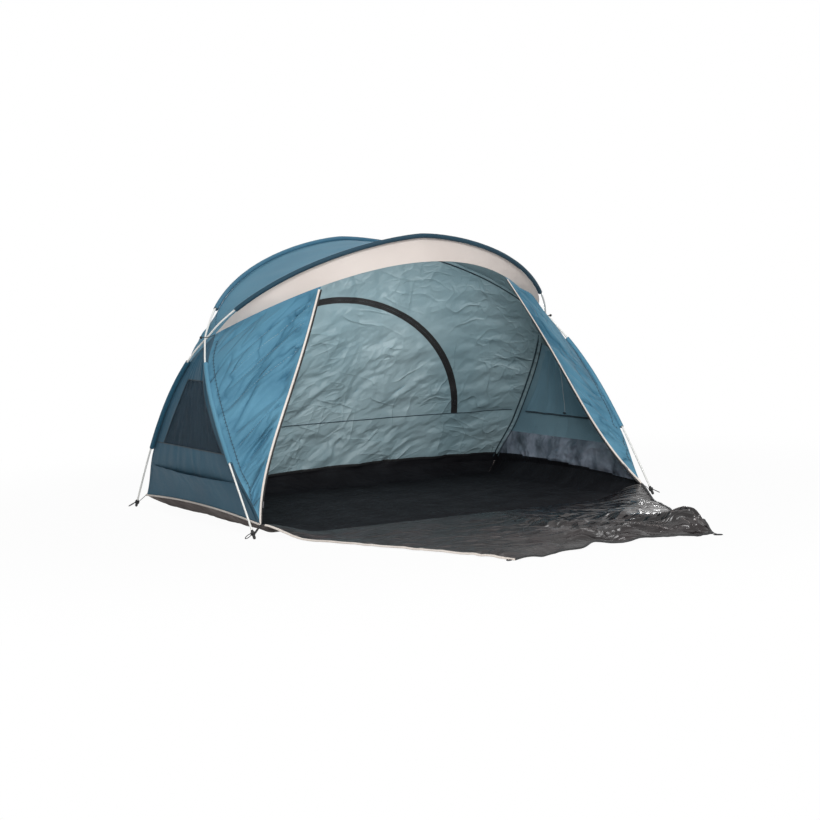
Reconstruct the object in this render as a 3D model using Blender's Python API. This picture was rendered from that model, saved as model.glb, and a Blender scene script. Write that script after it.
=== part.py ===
"""Two-pole beach tent with a zip-down front door that lies out as a porch floor.

Metres, Z up. X runs across the tent and the front faces -Y. The origin is on the ground, under the
middle of the groundsheet. Left and right are those of someone who looks in from the front.
"""

import math
from bisect import bisect_right

import bmesh
import bpy
from mathutils import Vector

# Frame, measured on the pole centrelines
FOOT_SPAN = 2.0
FOOT_DEPTH = 1.4
CROWN_HEIGHT = 1.235
CROWN_REACH = 0.416
CROSS_HEIGHT = 0.82
FOOT_RISE = 0.009
POLE_SPAN_POWER = 1.29
POLE_RISE_POWER = 0.465
POLE_SAMPLES = 1500
SAMPLE_BIAS = 2.2
FRAME_STEP = 0.01

# Poles, in sections that plug together
POLE_RADIUS = 0.00425
POLE_SECTIONS = 6
POLE_SIDES = 8
FERRULE_RADIUS = 0.0055
FERRULE_LENGTH = 0.06
FERRULE_TAPER = 0.004
SOCKET_GAP = 0.0004
END_GAP = 0.0004
CROSS_SHIFT = 0.0044
CROSS_BOW = 0.1

# Fabric sleeves that the poles run in
SLEEVE_BORE_LONG = 0.0096
SLEEVE_BORE_SHORT = 0.0092
SLEEVE_WALL = 0.0012
SLEEVE_GAP = 0.0006
SLEEVE_SIDES = 8
LEG_SLEEVE_BOTTOM = 0.3
LEG_SLEEVE_TOP = 0.71
ROOF_SLEEVE_END = 0.94

# Sewn shell
FABRIC = 0.0012
SHEET = 0.001
SEAM_GAP = 0.0009
SEAM_INSET = 0.0011
APEX_INSET = 0.045
APEX_RISE = 0.012
APEX_TRIM = 0.02
LEG_STEP = 0.13
ROOF_STEP = 0.1
ROOF_SAG = 0.012
ROOF_ROWS = 5

# Groundsheet, a tray with raised borders
FLOOR_SIDE_INSET = 0.045
FLOOR_END_INSET = 0.028
FLOOR_WIDTH = FOOT_SPAN - 2 * FLOOR_SIDE_INSET
FLOOR_DEPTH = FOOT_DEPTH - 2 * FLOOR_END_INSET
CORNER_HEIGHT = 0.055
SIDE_LIFT = 0.04
BACK_LIFT = 0.025
BORDER = 0.09
FLOOR_COLUMNS = 12
FLOOR_ROWS = 8
FRONT_BULGE = 0.0112

# Front: visor, corner panels and their zips
VISOR_DROP = 0.118
VISOR_FORWARD = 0.068
VISOR_ROWS = 3
DOOR_TOP_HALF = 0.469
DOOR_SAG = 0.075
DOOR_SAG_SHARE = 0.25
FRONT_COLUMNS = 8
PANEL_FOLD = 0.006
PANEL_FOLDS = 3
FOLD_SLANT_SHARE = 0.7
ZIP_WIDTH = 0.01
ZIP_TRIM = 0.03
CORNER_TRIM = 0.03

# Side walls: window, net, inner cover and sand pocket
SEAM_HEIGHT = 0.33
WINDOW_TOP = 0.634
WINDOW_BOTTOM_SHARES = (0.1, 0.89)
WINDOW_TOP_SHARES = (0.24, 0.75)
WINDOW_COLUMNS = 6
BORDER_COLUMNS = 2
NET_LAP_WIDTH = 0.012
COVER_LAP_WIDTH = 0.03
COVER_STANDOFF = 0.0035
COVER_SEWN_SHARE = 0.25
COVER_HEM_WIDTH = 0.002
COVER_PLEAT = 0.004
COVER_PLEATS = 4
COVER_COLUMNS = 16
TIE_WIDTH = 0.008
TIE_GAP = 0.0003
TOGGLE_RADIUS = 0.006
TOGGLE_LENGTH = 0.03
TOGGLE_PROFILE_SHARES = ((-1.0, 0.45), (-0.85, 0.9), (0.0, 1.0), (0.85, 0.9), (1.0, 0.45))
POCKET_TOP = 0.205
POCKET_INSET = 0.02
POCKET_FOOT_SHARE = 0.2
POCKET_BULGE = 0.026

# Rear wall with its half-round zipped door
REAR_DOOR_HALF = 0.665
REAR_DOOR_RISE = 0.605
REAR_DOOR_GAP = 0.0008
REAR_ZIP_WIDTH = 0.028
REAR_ARC_STEPS = 28
CUTTER_DEPTH = 0.6
WALL_FOLD = 0.007
WALL_FOLDS = 5

# Porch apron: the front door, laid out on the ground
APRON_LENGTH = 1.2
APRON_HINGE_GAP = 0.0119
APRON_SIDE_INSET = 0.01
APRON_INNER_HALF = FLOOR_WIDTH / 2 - APRON_SIDE_INSET
APRON_OUTER_HALF = 0.468
APRON_COLUMNS = 20
APRON_ROWS = 12
APRON_WAVE = 0.011
APRON_CALM = 0.1
APRON_DRAW = 0.033
APRON_RISE_SHARE = 0.45
APRON_SWELL_SHARES = ((1.0, 1.3, 0.5, 0.0), (0.7, 2.55, -0.8, 0.2), (0.5, 0.35, 2.2, 0.0))
APRON_DRAW_SHARES = (1.5, 0.1)
FRONT_CORNER_SHARE = 0.72

# Pole tips, corner straps and peg loops
TIP_RADIUS = 0.0065
TIP_MOUTH_RADIUS = 0.006
TIP_DEPTH = 0.034
TIP_NOSE = 0.0085
TIP_NOSE_SHARES = ((1.0, 0.35), (0.85, 0.7), (0.5, 0.95))
TIP_SIDES = 12
COLLAR_RADIUS = 0.0105
COLLAR_HEIGHT = 0.01
COLLAR_LIFT = 0.014
STRAP_WIDTH = 0.011
STRAP_THICK = 0.0022
STRAP_START = 0.004
LOOP_CORD = 0.0019
LOOP_LENGTH = 0.036
LOOP_WIDTH = 0.02
LOOP_STEPS = 12
LOOP_SIDES = 6
LOOP_FALL_SHARE = 0.55
LOOP_TURN_SHARE = 0.35

# Elastic ties at the crossings
TIE_CORD = 0.0016
TIE_LONG_EASE = 0.003
TIE_SHORT_EASE = 0.0017
TIE_TAIL = 0.034
BALL_RADIUS = 0.0065

# Zip sliders and their pulls
SLIDER_LENGTH = 0.012
SLIDER_WIDTH = 0.009
SLIDER_THICK = 0.0034
SLIDER_GAP = 0.0007
SLIDER_PARK = 0.05
SLIDER_CLEAR = 0.009
REAR_TRACK_BOW = 0.175
PULL_LENGTH = 0.026
PULL_WIDTH = 0.0055
PULL_THICK = 0.0014
PULL_GAP = 0.0005
CORNER_ROUND = 0.0008

CUT_OVERRUN = 0.05

# Limits of the hinged cloth, in radians
APRON_SWING = math.radians(95)
REAR_DOOR_SWING = math.radians(115)
COVER_SWING = math.radians(70)

FRONT = -1
REAR = 1
LEFT = -1
RIGHT = 1

COLOURS = {
    "shell": (0.055, 0.19, 0.27),
    "sleeve": (0.016, 0.06, 0.085),
    "visor": (0.78, 0.74, 0.70),
    "inner": (0.20, 0.27, 0.30),
    "sheet": (0.012, 0.013, 0.016),
    "net": (0.015, 0.017, 0.02),
    "rod": (0.80, 0.80, 0.78),
    "trim": (0.01, 0.01, 0.011),
    "metal": (0.30, 0.30, 0.31),
}


def make_material(name, roughness=0.75, metallic=0.0):
    """One Principled finish from the table of colours."""
    material = bpy.data.materials.new(name)
    material.use_nodes = True
    shader = material.node_tree.nodes["Principled BSDF"]
    shader.inputs["Base Color"].default_value = (*COLOURS[name], 1.0)
    shader.inputs["Roughness"].default_value = roughness
    shader.inputs["Metallic"].default_value = metallic
    material.diffuse_color = (*COLOURS[name], 1.0)
    return material


def smoothstep(share):
    """Ease from 0 to 1."""
    share = max(0.0, min(1.0, share))
    return share * share * (3.0 - 2.0 * share)


def mirror(point, side, end):
    """Reflect a point of the rear right quarter to a side and an end of the tent."""
    return Vector((side * point.x, end * point.y, point.z))


# The sprung pole

def lean(rise):
    """Distance of a pole from mid depth at a height above its foot, negative past the crossing."""
    cross = CROSS_HEIGHT - FOOT_RISE
    crown = CROWN_HEIGHT - FOOT_RISE
    half = FOOT_DEPTH / 2
    bow = (CROWN_REACH * cross / (half * (crown - cross)) - 1) / crown
    return half * (1 - rise / cross) * (1 + bow * rise)


def sample_half_pole():
    """Points of half a pole from its foot at +X, +Y to the crown, and the distance to each."""
    points = []
    for i in range(POLE_SAMPLES + 1):
        angle = math.pi / 2 * (i / POLE_SAMPLES) ** SAMPLE_BIAS
        x = FOOT_SPAN / 2 * max(math.cos(angle), 0.0) ** POLE_SPAN_POWER
        rise = (CROWN_HEIGHT - FOOT_RISE) * math.sin(angle) ** POLE_RISE_POWER
        points.append(Vector((x, lean(rise), FOOT_RISE + rise)))
    distances = [0.0]
    for before, after in zip(points, points[1:]):
        distances.append(distances[-1] + (after - before).length)
    return points, distances


HALF_POINTS, HALF_DISTANCES = sample_half_pole()
HALF_LENGTH = HALF_DISTANCES[-1]


def curve_point(distance):
    """Point of the smooth half pole at a distance from the foot."""
    distance = max(0.0, min(HALF_LENGTH, distance))
    k = min(bisect_right(HALF_DISTANCES, distance), POLE_SAMPLES)
    span = HALF_DISTANCES[k] - HALF_DISTANCES[k - 1]
    share = (distance - HALF_DISTANCES[k - 1]) / span
    return HALF_POINTS[k - 1].lerp(HALF_POINTS[k], share)


def distance_at_height(height):
    """Distance along the half pole at which it reaches a height."""
    heights = [p.z for p in HALF_POINTS]
    k = bisect_right(heights, height)
    share = (height - heights[k - 1]) / (heights[k] - heights[k - 1])
    return HALF_DISTANCES[k - 1] + share * (HALF_DISTANCES[k] - HALF_DISTANCES[k - 1])


CROSS_DISTANCE = distance_at_height(CROSS_HEIGHT)
LEG_SLEEVE_SPAN = (distance_at_height(LEG_SLEEVE_BOTTOM), distance_at_height(LEG_SLEEVE_TOP))
ROOF_SLEEVE_START = distance_at_height(ROOF_SLEEVE_END)
WINDOW_SPAN = (distance_at_height(SEAM_HEIGHT), distance_at_height(WINDOW_TOP))
POCKET_DISTANCE = distance_at_height(POCKET_TOP)
ARCH_START = CROSS_DISTANCE + APEX_TRIM
LEG_END = CROSS_DISTANCE - APEX_TRIM

PLANE_NORMAL = Vector((1, 0, 0)).cross(Vector((0, -FOOT_DEPTH / 2 - CROWN_REACH, CROWN_HEIGHT)).normalized())


def curve_frame(distance):
    """Directions at a point of the half pole: along it, outward from the tent, and across both."""
    ahead = curve_point(distance + FRAME_STEP)
    behind = curve_point(distance - FRAME_STEP)
    if distance + FRAME_STEP > HALF_LENGTH:
        ahead = mirror(curve_point(2 * HALF_LENGTH - distance - FRAME_STEP), -1, 1)
    along = (ahead - behind).normalized()
    outward = along.cross(PLANE_NORMAL).normalized()
    return along, outward, outward.cross(along).normalized()


def build_stations():
    """Distances from the foot at which every sleeve, pole and panel edge has a point."""
    marks = [0.0, POCKET_DISTANCE, *LEG_SLEEVE_SPAN, *WINDOW_SPAN, CROSS_DISTANCE - CROSS_BOW, LEG_END,
             CROSS_DISTANCE, ARCH_START, CROSS_DISTANCE + CROSS_BOW, ROOF_SLEEVE_START, HALF_LENGTH]
    marks.sort()
    stations = [marks[0]]
    for low, high in zip(marks, marks[1:]):
        step = LEG_STEP if high <= CROSS_DISTANCE else ROOF_STEP
        count = max(1, math.ceil((high - low) / step))
        stations += [low + (high - low) * (i + 1) / count for i in range(count)]
    return stations


STATIONS = build_stations()
STATION_POINTS = [curve_point(d) for d in STATIONS]
STATION_FRAMES = [curve_frame(d) for d in STATIONS]


def pole_frame(distance):
    """Centre, outward and across directions on the straight run between two stations."""
    k = max(1, min(bisect_right(STATIONS, distance), len(STATIONS) - 1))
    share = (distance - STATIONS[k - 1]) / (STATIONS[k] - STATIONS[k - 1])
    centre = STATION_POINTS[k - 1].lerp(STATION_POINTS[k], share)
    outward = STATION_FRAMES[k - 1][1].lerp(STATION_FRAMES[k][1], share).normalized()
    across = STATION_FRAMES[k - 1][2].lerp(STATION_FRAMES[k][2], share).normalized()
    return centre, outward, across


def cross_normal():
    """Direction square to both poles where they cross on the right side, pointing out."""
    along = STATION_FRAMES[STATIONS.index(CROSS_DISTANCE)][0]
    return Vector((along.z, 0, -along.x)).normalized()


def cross_offset(distance, end):
    """Bow that carries one pole over the other where they cross."""
    share = abs(distance - CROSS_DISTANCE) / CROSS_BOW
    return cross_normal() * (-end * CROSS_SHIFT * (1 - smoothstep(share)))


def stations_between(start, stop):
    """Ends of a stretch and the stations inside it, as signed distances from the crown."""
    signed = sorted({round(s * (HALF_LENGTH - d), 7) for d in STATIONS for s in (-1, 1)})
    margin = FRAME_STEP / 100
    return [start] + [q for q in signed if start + margin < q < stop - margin] + [stop]


def frame_at(signed, end):
    """Centre, outward and across directions of a whole pole. The end is that of its feet."""
    side = RIGHT if signed >= 0 else LEFT
    distance = HALF_LENGTH - abs(signed)
    centre, outward, across = pole_frame(distance)
    centre = centre + cross_offset(distance, end)
    return mirror(centre, side, end), mirror(outward, side, end), mirror(across, side, end)


# Seam line of the shell, which follows the poles just inside their sleeves

SLEEVE_OFFSET = SLEEVE_BORE_LONG - FERRULE_RADIUS - SLEEVE_GAP
SEAM_DEPTH = SLEEVE_OFFSET + SLEEVE_BORE_LONG + SLEEVE_WALL + SEAM_GAP


def seam_point(distance):
    """Seam of the rear right leg below the crossing, and of the front right arch above it."""
    centre, outward, across = pole_frame(distance)
    sleeve = -outward * SEAM_DEPTH
    corner = Vector((FLOOR_WIDTH / 2, FLOOR_DEPTH / 2, CORNER_HEIGHT)) - STATION_POINTS[0]
    apex = Vector((-APEX_INSET, 0, APEX_RISE))
    bottom, top = LEG_SLEEVE_SPAN
    if distance < bottom:
        offset = corner.lerp(sleeve, smoothstep(distance / bottom))
    elif distance <= top:
        offset = sleeve
    elif distance < CROSS_DISTANCE:
        offset = sleeve.lerp(apex, smoothstep((distance - top) / (CROSS_DISTANCE - top)))
    elif distance < ROOF_SLEEVE_START:
        span = ROOF_SLEEVE_START - CROSS_DISTANCE
        offset = apex.lerp(sleeve, smoothstep((distance - CROSS_DISTANCE) / span))
    else:
        offset = sleeve
    return centre + offset


def leg_stations(stop=LEG_END):
    """Stations of a leg from the floor corner up to a distance."""
    return [d for d in STATIONS if d <= stop + FRAME_STEP / 100]


def arch_stations(start=ARCH_START):
    """Stations of an arch from a distance past the crossing up to the crown."""
    return [d for d in STATIONS if d >= start - FRAME_STEP / 100]


def edge_lift(share):
    """Rise of a sewn edge above its two ends, at a share of the way along it."""
    return 4 * share * (1 - share)


def floor_edge(x, y):
    """Heights of the groundsheet's side, back and front seams above a place on the floor."""
    across = min(1.0, abs(x) / (FLOOR_WIDTH / 2))
    side = CORNER_HEIGHT + SIDE_LIFT * edge_lift(0.5 + y / FLOOR_DEPTH)
    back = CORNER_HEIGHT + BACK_LIFT * edge_lift(0.5 + x / FLOOR_WIDTH)
    corner = smoothstep((across - FRONT_CORNER_SHARE) / (1 - FRONT_CORNER_SHARE))
    front = SHEET / 2 + (CORNER_HEIGHT - SHEET / 2) * corner
    return side, back, front


# Meshes

def add_object(name, mesh_builder, material, bevel=0.0):
    """Make a named object from a bmesh, with its faces pointing out."""
    mesh_builder.normal_update()
    bmesh.ops.recalc_face_normals(mesh_builder, faces=mesh_builder.faces)
    mesh = bpy.data.meshes.new(name)
    mesh_builder.to_mesh(mesh)
    mesh_builder.free()
    mesh.materials.append(material)
    obj = bpy.data.objects.new(name, mesh)
    bpy.context.scene.collection.objects.link(obj)
    if bevel > 0:
        modifier = obj.modifiers.new("Rounded edges", "BEVEL")
        modifier.width = bevel
        modifier.segments = 1
    return obj


def set_origin(obj, point):
    """Put an object's origin on a point without moving its surface."""
    for vertex in obj.data.vertices:
        vertex.co -= point
    obj.location = point


def world_place(obj):
    """World position of an object's origin. Nothing here is turned."""
    place = obj.location.copy()
    while obj.parent:
        obj = obj.parent
        place += obj.location
    return place


def carry(child, parent):
    """Parent a piece to what moves it and keep it where it stands."""
    child.location -= world_place(parent)
    child.parent = parent


def add_pivot(name, point, parent=None):
    """Empty on a joint's axis."""
    pivot = bpy.data.objects.new(name, None)
    bpy.context.scene.collection.objects.link(pivot)
    pivot.location = point
    if parent:
        carry(pivot, parent)
    return pivot


def print_joint(kind, name, point, axis, limit):
    """Print a joint's place and direction, and its range in degrees or metres."""
    limit = limit if kind == "slide" else math.degrees(limit)
    print(kind, name, [round(c, 5) for c in point], [round(c, 5) for c in axis], round(limit, 4))


def smooth(obj, angle=40):
    """Shade a round piece smooth, with edges sharper than an angle kept sharp."""
    obj.data.shade_smooth()
    obj.data.set_sharp_from_angle(angle=math.radians(angle))


def skin(name, rings, material, looped=False):
    """Join rings of equal count into one closed body, capped at both ends or closed on itself."""
    builder = bmesh.new()
    rows = [[builder.verts.new(p) for p in ring] for ring in rings]
    pairs = list(zip(rows, rows[1:]))
    if looped:
        pairs.append((rows[-1], rows[0]))
    for low, high in pairs:
        count = len(low)
        for k in range(count):
            builder.faces.new((low[k], low[(k + 1) % count], high[(k + 1) % count], high[k]))
    if not looped:
        builder.faces.new(rows[0])
        builder.faces.new(rows[-1])
    obj = add_object(name, builder, material)
    smooth(obj)
    return obj


def ellipse(centre, long_way, short_way, long_half, short_half, sides):
    """Ring of points round a centre."""
    points = []
    for k in range(sides):
        angle = 2 * math.pi * k / sides
        aside = short_way * (short_half * math.sin(angle))
        points.append(centre + long_way * (long_half * math.cos(angle)) + aside)
    return points


def cloth(name, rows, material, thickness=FABRIC, holes=(), dropped=()):
    """Thicken a grid of points into a closed sheet. Cells in holes stay open."""
    builder = bmesh.new()
    grid = [[builder.verts.new(p) for p in row] for row in rows]
    for i, (low, high) in enumerate(zip(grid, grid[1:])):
        for j in range(len(low) - 1):
            if (i, j) in holes:
                continue
            corners = [((i, j), low[j]), ((i, j + 1), low[j + 1]), ((i + 1, j + 1), high[j + 1]),
                       ((i + 1, j), high[j])]
            kept = [vertex for key, vertex in corners if key not in dropped]
            builder.faces.new(kept)
    loose = [v for v in builder.verts if not v.link_faces]
    bmesh.ops.delete(builder, geom=loose, context="VERTS")
    bmesh.ops.triangulate(builder, faces=builder.faces, quad_method="FIXED")
    obj = add_object(name, builder, material)
    modifier = obj.modifiers.new("Cloth thickness", "SOLIDIFY")
    modifier.thickness = thickness
    modifier.offset = 0.0
    modifier.use_even_offset = True
    obj.data.shade_smooth()
    return obj


def inset(rows, first=0.0, last=0.0, left=0.0, right=0.0):
    """Draw the borders of a grid in by a distance each, so that it stops short of its seams."""
    def pull(point, inner, distance):
        return point + (inner - point).normalized() * distance
    out = [list(row) for row in rows]
    for row in out:
        row[0] = pull(row[0], row[1], left)
        row[-1] = pull(row[-1], row[-2], right)
    out[0] = [pull(p, q, first) for p, q in zip(out[0], out[1])]
    out[-1] = [pull(p, q, last) for p, q in zip(out[-1], out[-2])]
    return out


def grid_normals(rows):
    """Unit normal at each point of a grid, from its neighbours."""
    normals = []
    for i, row in enumerate(rows):
        low = rows[max(i - 1, 0)]
        high = rows[min(i + 1, len(rows) - 1)]
        line = []
        for j in range(len(row)):
            along = row[min(j + 1, len(row) - 1)] - row[max(j - 1, 0)]
            up = high[j] - low[j]
            line.append(along.cross(up).normalized())
        normals.append(line)
    return normals


def shifted(rows, distance):
    """Grid moved along its own normals."""
    return [[p + n * distance for p, n in zip(row, line)] for row, line in zip(rows, grid_normals(rows))]


# Poles

def pole_rings(stretch, end):
    """Rings of a pole along a list of signed distance and radius pairs."""
    rings = []
    for signed, radius in stretch:
        centre, outward, across = frame_at(signed, end)
        rings.append(ellipse(centre, outward, across, radius, radius, POLE_SIDES))
    return rings


def build_pole(prefix, end, material):
    """One sprung pole, as sections that each carry the ferrule for the next one."""
    length = 2 * HALF_LENGTH / POLE_SECTIONS
    for k in range(POLE_SECTIONS):
        start = -HALF_LENGTH + k * length + (END_GAP if k else 0.0)
        stop = -HALF_LENGTH + (k + 1) * length
        if k == POLE_SECTIONS - 1:
            stretch = [(q, POLE_RADIUS) for q in stations_between(start, HALF_LENGTH)]
        else:
            root = stop - FERRULE_LENGTH / 2
            mouth = stop + FERRULE_LENGTH / 2
            bore = POLE_RADIUS + SOCKET_GAP
            stretch = [(q, POLE_RADIUS) for q in stations_between(start, root)]
            outer = stations_between(root + FERRULE_TAPER, mouth)
            stretch += [(q, FERRULE_RADIUS) for q in outer]
            stretch += [(q, bore) for q in reversed(stations_between(stop, mouth))]
        skin(f"{prefix}_section_{k + 1}", pole_rings(stretch, end), material)


def build_sleeve(name, end, start, stop, material):
    """A fabric sleeve: a flattened tube that the pole runs through along its outer side."""
    outer = []
    inner = []
    for signed in stations_between(start, stop):
        centre, outward, across = frame_at(signed, end)
        middle = centre - outward * SLEEVE_OFFSET
        outer.append(ellipse(middle, outward, across, SLEEVE_BORE_LONG + SLEEVE_WALL,
                             SLEEVE_BORE_SHORT + SLEEVE_WALL, SLEEVE_SIDES))
        inner.append(ellipse(middle, outward, across, SLEEVE_BORE_LONG, SLEEVE_BORE_SHORT, SLEEVE_SIDES))
    return skin(name, outer + inner[::-1], material, looped=True)


def build_sleeves(material):
    """Two sleeves over the roof and one on each leg."""
    roof = HALF_LENGTH - ROOF_SLEEVE_START
    build_sleeve("rear_roof_sleeve", FRONT, -roof, roof, material)
    build_sleeve("front_roof_sleeve", REAR, -roof, roof, material)
    low = HALF_LENGTH - LEG_SLEEVE_SPAN[0]
    high = HALF_LENGTH - LEG_SLEEVE_SPAN[1]
    for end, word in ((FRONT, "front"), (REAR, "back")):
        build_sleeve(f"{word}_leg_sleeve_right", end, high, low, material)
        build_sleeve(f"{word}_leg_sleeve_left", end, -low, -high, material)


# Shell panels

def arch_row(end, start=ARCH_START):
    """Seam points over an arch from left to right. The end is where the arch stands."""
    right = [mirror(seam_point(d), RIGHT, -end) for d in arch_stations(start)]
    return [mirror(p, LEFT, 1) for p in right] + right[-2::-1]


def build_roof(material):
    """Lens-shaped roof between the two arches."""
    front = arch_row(FRONT)
    rear = arch_row(REAR)
    widest = max((b - a).length for a, b in zip(front, rear))
    rows = []
    for i in range(ROOF_ROWS + 1):
        share = i / ROOF_ROWS
        row = []
        for a, b in zip(front, rear):
            sag = ROOF_SAG * 4 * share * (1 - share) * (b - a).length / widest
            row.append(a.lerp(b, share) - Vector((0, 0, sag)))
        rows.append(row)
    cloth("roof_panel", inset(rows, SEAM_INSET, SEAM_INSET), material)


def visor_edge(share):
    """Lower edge of the visor at a share of the way from the middle to the right apex."""
    apex = seam_point(CROSS_DISTANCE)
    drop = share * share
    middle = Vector((0, -CROWN_REACH - VISOR_FORWARD, CROWN_HEIGHT - VISOR_DROP))
    edge = middle.lerp(apex, drop)
    edge.x = apex.x * share
    return edge


def build_visor(material):
    """Crescent that hangs from the front arch above the doorway."""
    top = []
    low = []
    for distance in arch_stations():
        share = (HALF_LENGTH - distance) / (HALF_LENGTH - CROSS_DISTANCE)
        top.append(mirror(seam_point(distance), RIGHT, 1))
        low.append(visor_edge(share))
    rows = []
    for i in range(VISOR_ROWS + 1):
        right = [a.lerp(b, i / VISOR_ROWS) for a, b in zip(top, low)]
        rows.append([mirror(p, LEFT, 1) for p in right] + right[-2::-1])
    cloth("visor", inset(rows, SEAM_INSET), material)


def door_edge(share):
    """Zipped edge of the right corner panel, from the floor corner up to the visor."""
    corner = Vector((FLOOR_WIDTH / 2, -FLOOR_DEPTH / 2, CORNER_HEIGHT))
    top = visor_edge(DOOR_TOP_HALF / seam_point(CROSS_DISTANCE).x)
    power = 1 / DOOR_SAG_SHARE - 1
    slack = share * (1 - share) ** power / (DOOR_SAG_SHARE * (1 - DOOR_SAG_SHARE) ** power)
    return corner.lerp(top, share) + Vector((0, DOOR_SAG * slack, 0))


def front_panel_rows():
    """Grid of the right corner panel, from its leg seam to its zipped edge."""
    distances = [CORNER_TRIM] + leg_stations()[1:]
    top_share = DOOR_TOP_HALF / seam_point(CROSS_DISTANCE).x
    rows = []
    for distance in distances:
        share = distance / CROSS_DISTANCE
        leg = mirror(seam_point(distance), RIGHT, FRONT)
        zipped = door_edge(share)
        row = []
        for j in range(FRONT_COLUMNS + 1):
            step = j / FRONT_COLUMNS
            chord = visor_edge(1.0).lerp(visor_edge(top_share), step)
            rim = visor_edge(1.0 + (top_share - 1.0) * step)
            row.append(leg.lerp(zipped, step) + (rim - chord) * share ** 3)
        rows.append(row)
    folded = []
    for distance, row, line in zip(distances, rows, grid_normals(rows)):
        share = distance / CROSS_DISTANCE
        out = []
        for j, (point, normal) in enumerate(zip(row, line)):
            step = j / FRONT_COLUMNS
            slack = math.sin(math.pi * step) * math.sin(math.pi * share)
            wave = math.cos(2 * math.pi * PANEL_FOLDS * (share + FOLD_SLANT_SHARE * step))
            out.append(point + normal * (PANEL_FOLD * slack * wave))
        folded.append(out)
    return folded


def build_front_panel(side, word, shell, trim):
    """Corner panel beside the doorway, and the zip tape along its edge."""
    rows = front_panel_rows()
    rows = [[mirror(p, side, 1) for p in row] for row in rows]
    cloth(f"front_panel_{word}", inset(rows, 0.0, SEAM_INSET, SEAM_INSET, SEAM_INSET / 2), shell)
    tape = []
    for row in rows:
        edge = row[-1]
        way = (row[-1] - row[-2]).normalized()
        near = edge + way * (SLIDER_GAP / 2)
        tape.append([near, edge + way * (SLIDER_GAP / 2 + ZIP_WIDTH)])
    cloth(f"front_zip_{word}", inset(tape, 0.0, ZIP_TRIM), trim)
    return tape


def wall_point(distance, share):
    """Right side wall at a distance up its seams and a share of the way from front to back."""
    seam = seam_point(distance)
    lift = SIDE_LIFT * edge_lift(share) * (1 - min(1.0, distance / POCKET_DISTANCE)) ** 2
    return Vector((seam.x, seam.y * (2 * share - 1), seam.z + lift))


def window_shares(distance):
    """Front and back sides of the window at a distance up the wall."""
    low, high = WINDOW_SPAN
    share = (distance - low) / (high - low)
    front = WINDOW_BOTTOM_SHARES[0] + (WINDOW_TOP_SHARES[0] - WINDOW_BOTTOM_SHARES[0]) * share
    back = WINDOW_BOTTOM_SHARES[1] + (WINDOW_TOP_SHARES[1] - WINDOW_BOTTOM_SHARES[1]) * share
    return front, back


def wall_rows():
    """Grid of the right side wall with lines along the window's borders."""
    rows = []
    for distance in leg_stations():
        clamped = max(WINDOW_SPAN[0], min(WINDOW_SPAN[1], distance))
        front, back = window_shares(clamped)
        shares = [front * i / BORDER_COLUMNS for i in range(BORDER_COLUMNS)]
        shares += [front + (back - front) * i / WINDOW_COLUMNS for i in range(WINDOW_COLUMNS)]
        shares += [back + (1 - back) * i / BORDER_COLUMNS for i in range(BORDER_COLUMNS + 1)]
        rows.append([wall_point(distance, s) for s in shares])
    return rows


def wall_patch(distances, front_of, back_of, columns, standoff):
    """Grid that runs beside the right side wall, moved off it towards the outside."""
    rows = []
    for distance in distances:
        front = front_of(distance)
        back = back_of(distance)
        rows.append([wall_point(distance, front + (back - front) * j / columns) for j in range(columns + 1)])
    return [[p + n * standoff(i, j) for j, (p, n) in enumerate(zip(row, line))]
            for i, (row, line) in enumerate(zip(rows, grid_normals(rows)))]


def lapped_shares(lap):
    """Front and back sides of a patch that laps the window by a distance."""
    def width(distance):
        return 2 * seam_point(distance).y
    return (lambda d: window_shares(d)[0] - lap / width(d)), (lambda d: window_shares(d)[1] + lap / width(d))


def window_distances(lap):
    """Stations of a patch that laps the window above and below."""
    low, high = WINDOW_SPAN
    inner = [d for d in STATIONS if low - FRAME_STEP / 100 <= d <= high + FRAME_STEP / 100]
    return [low - lap] + inner + [high + lap]


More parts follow.
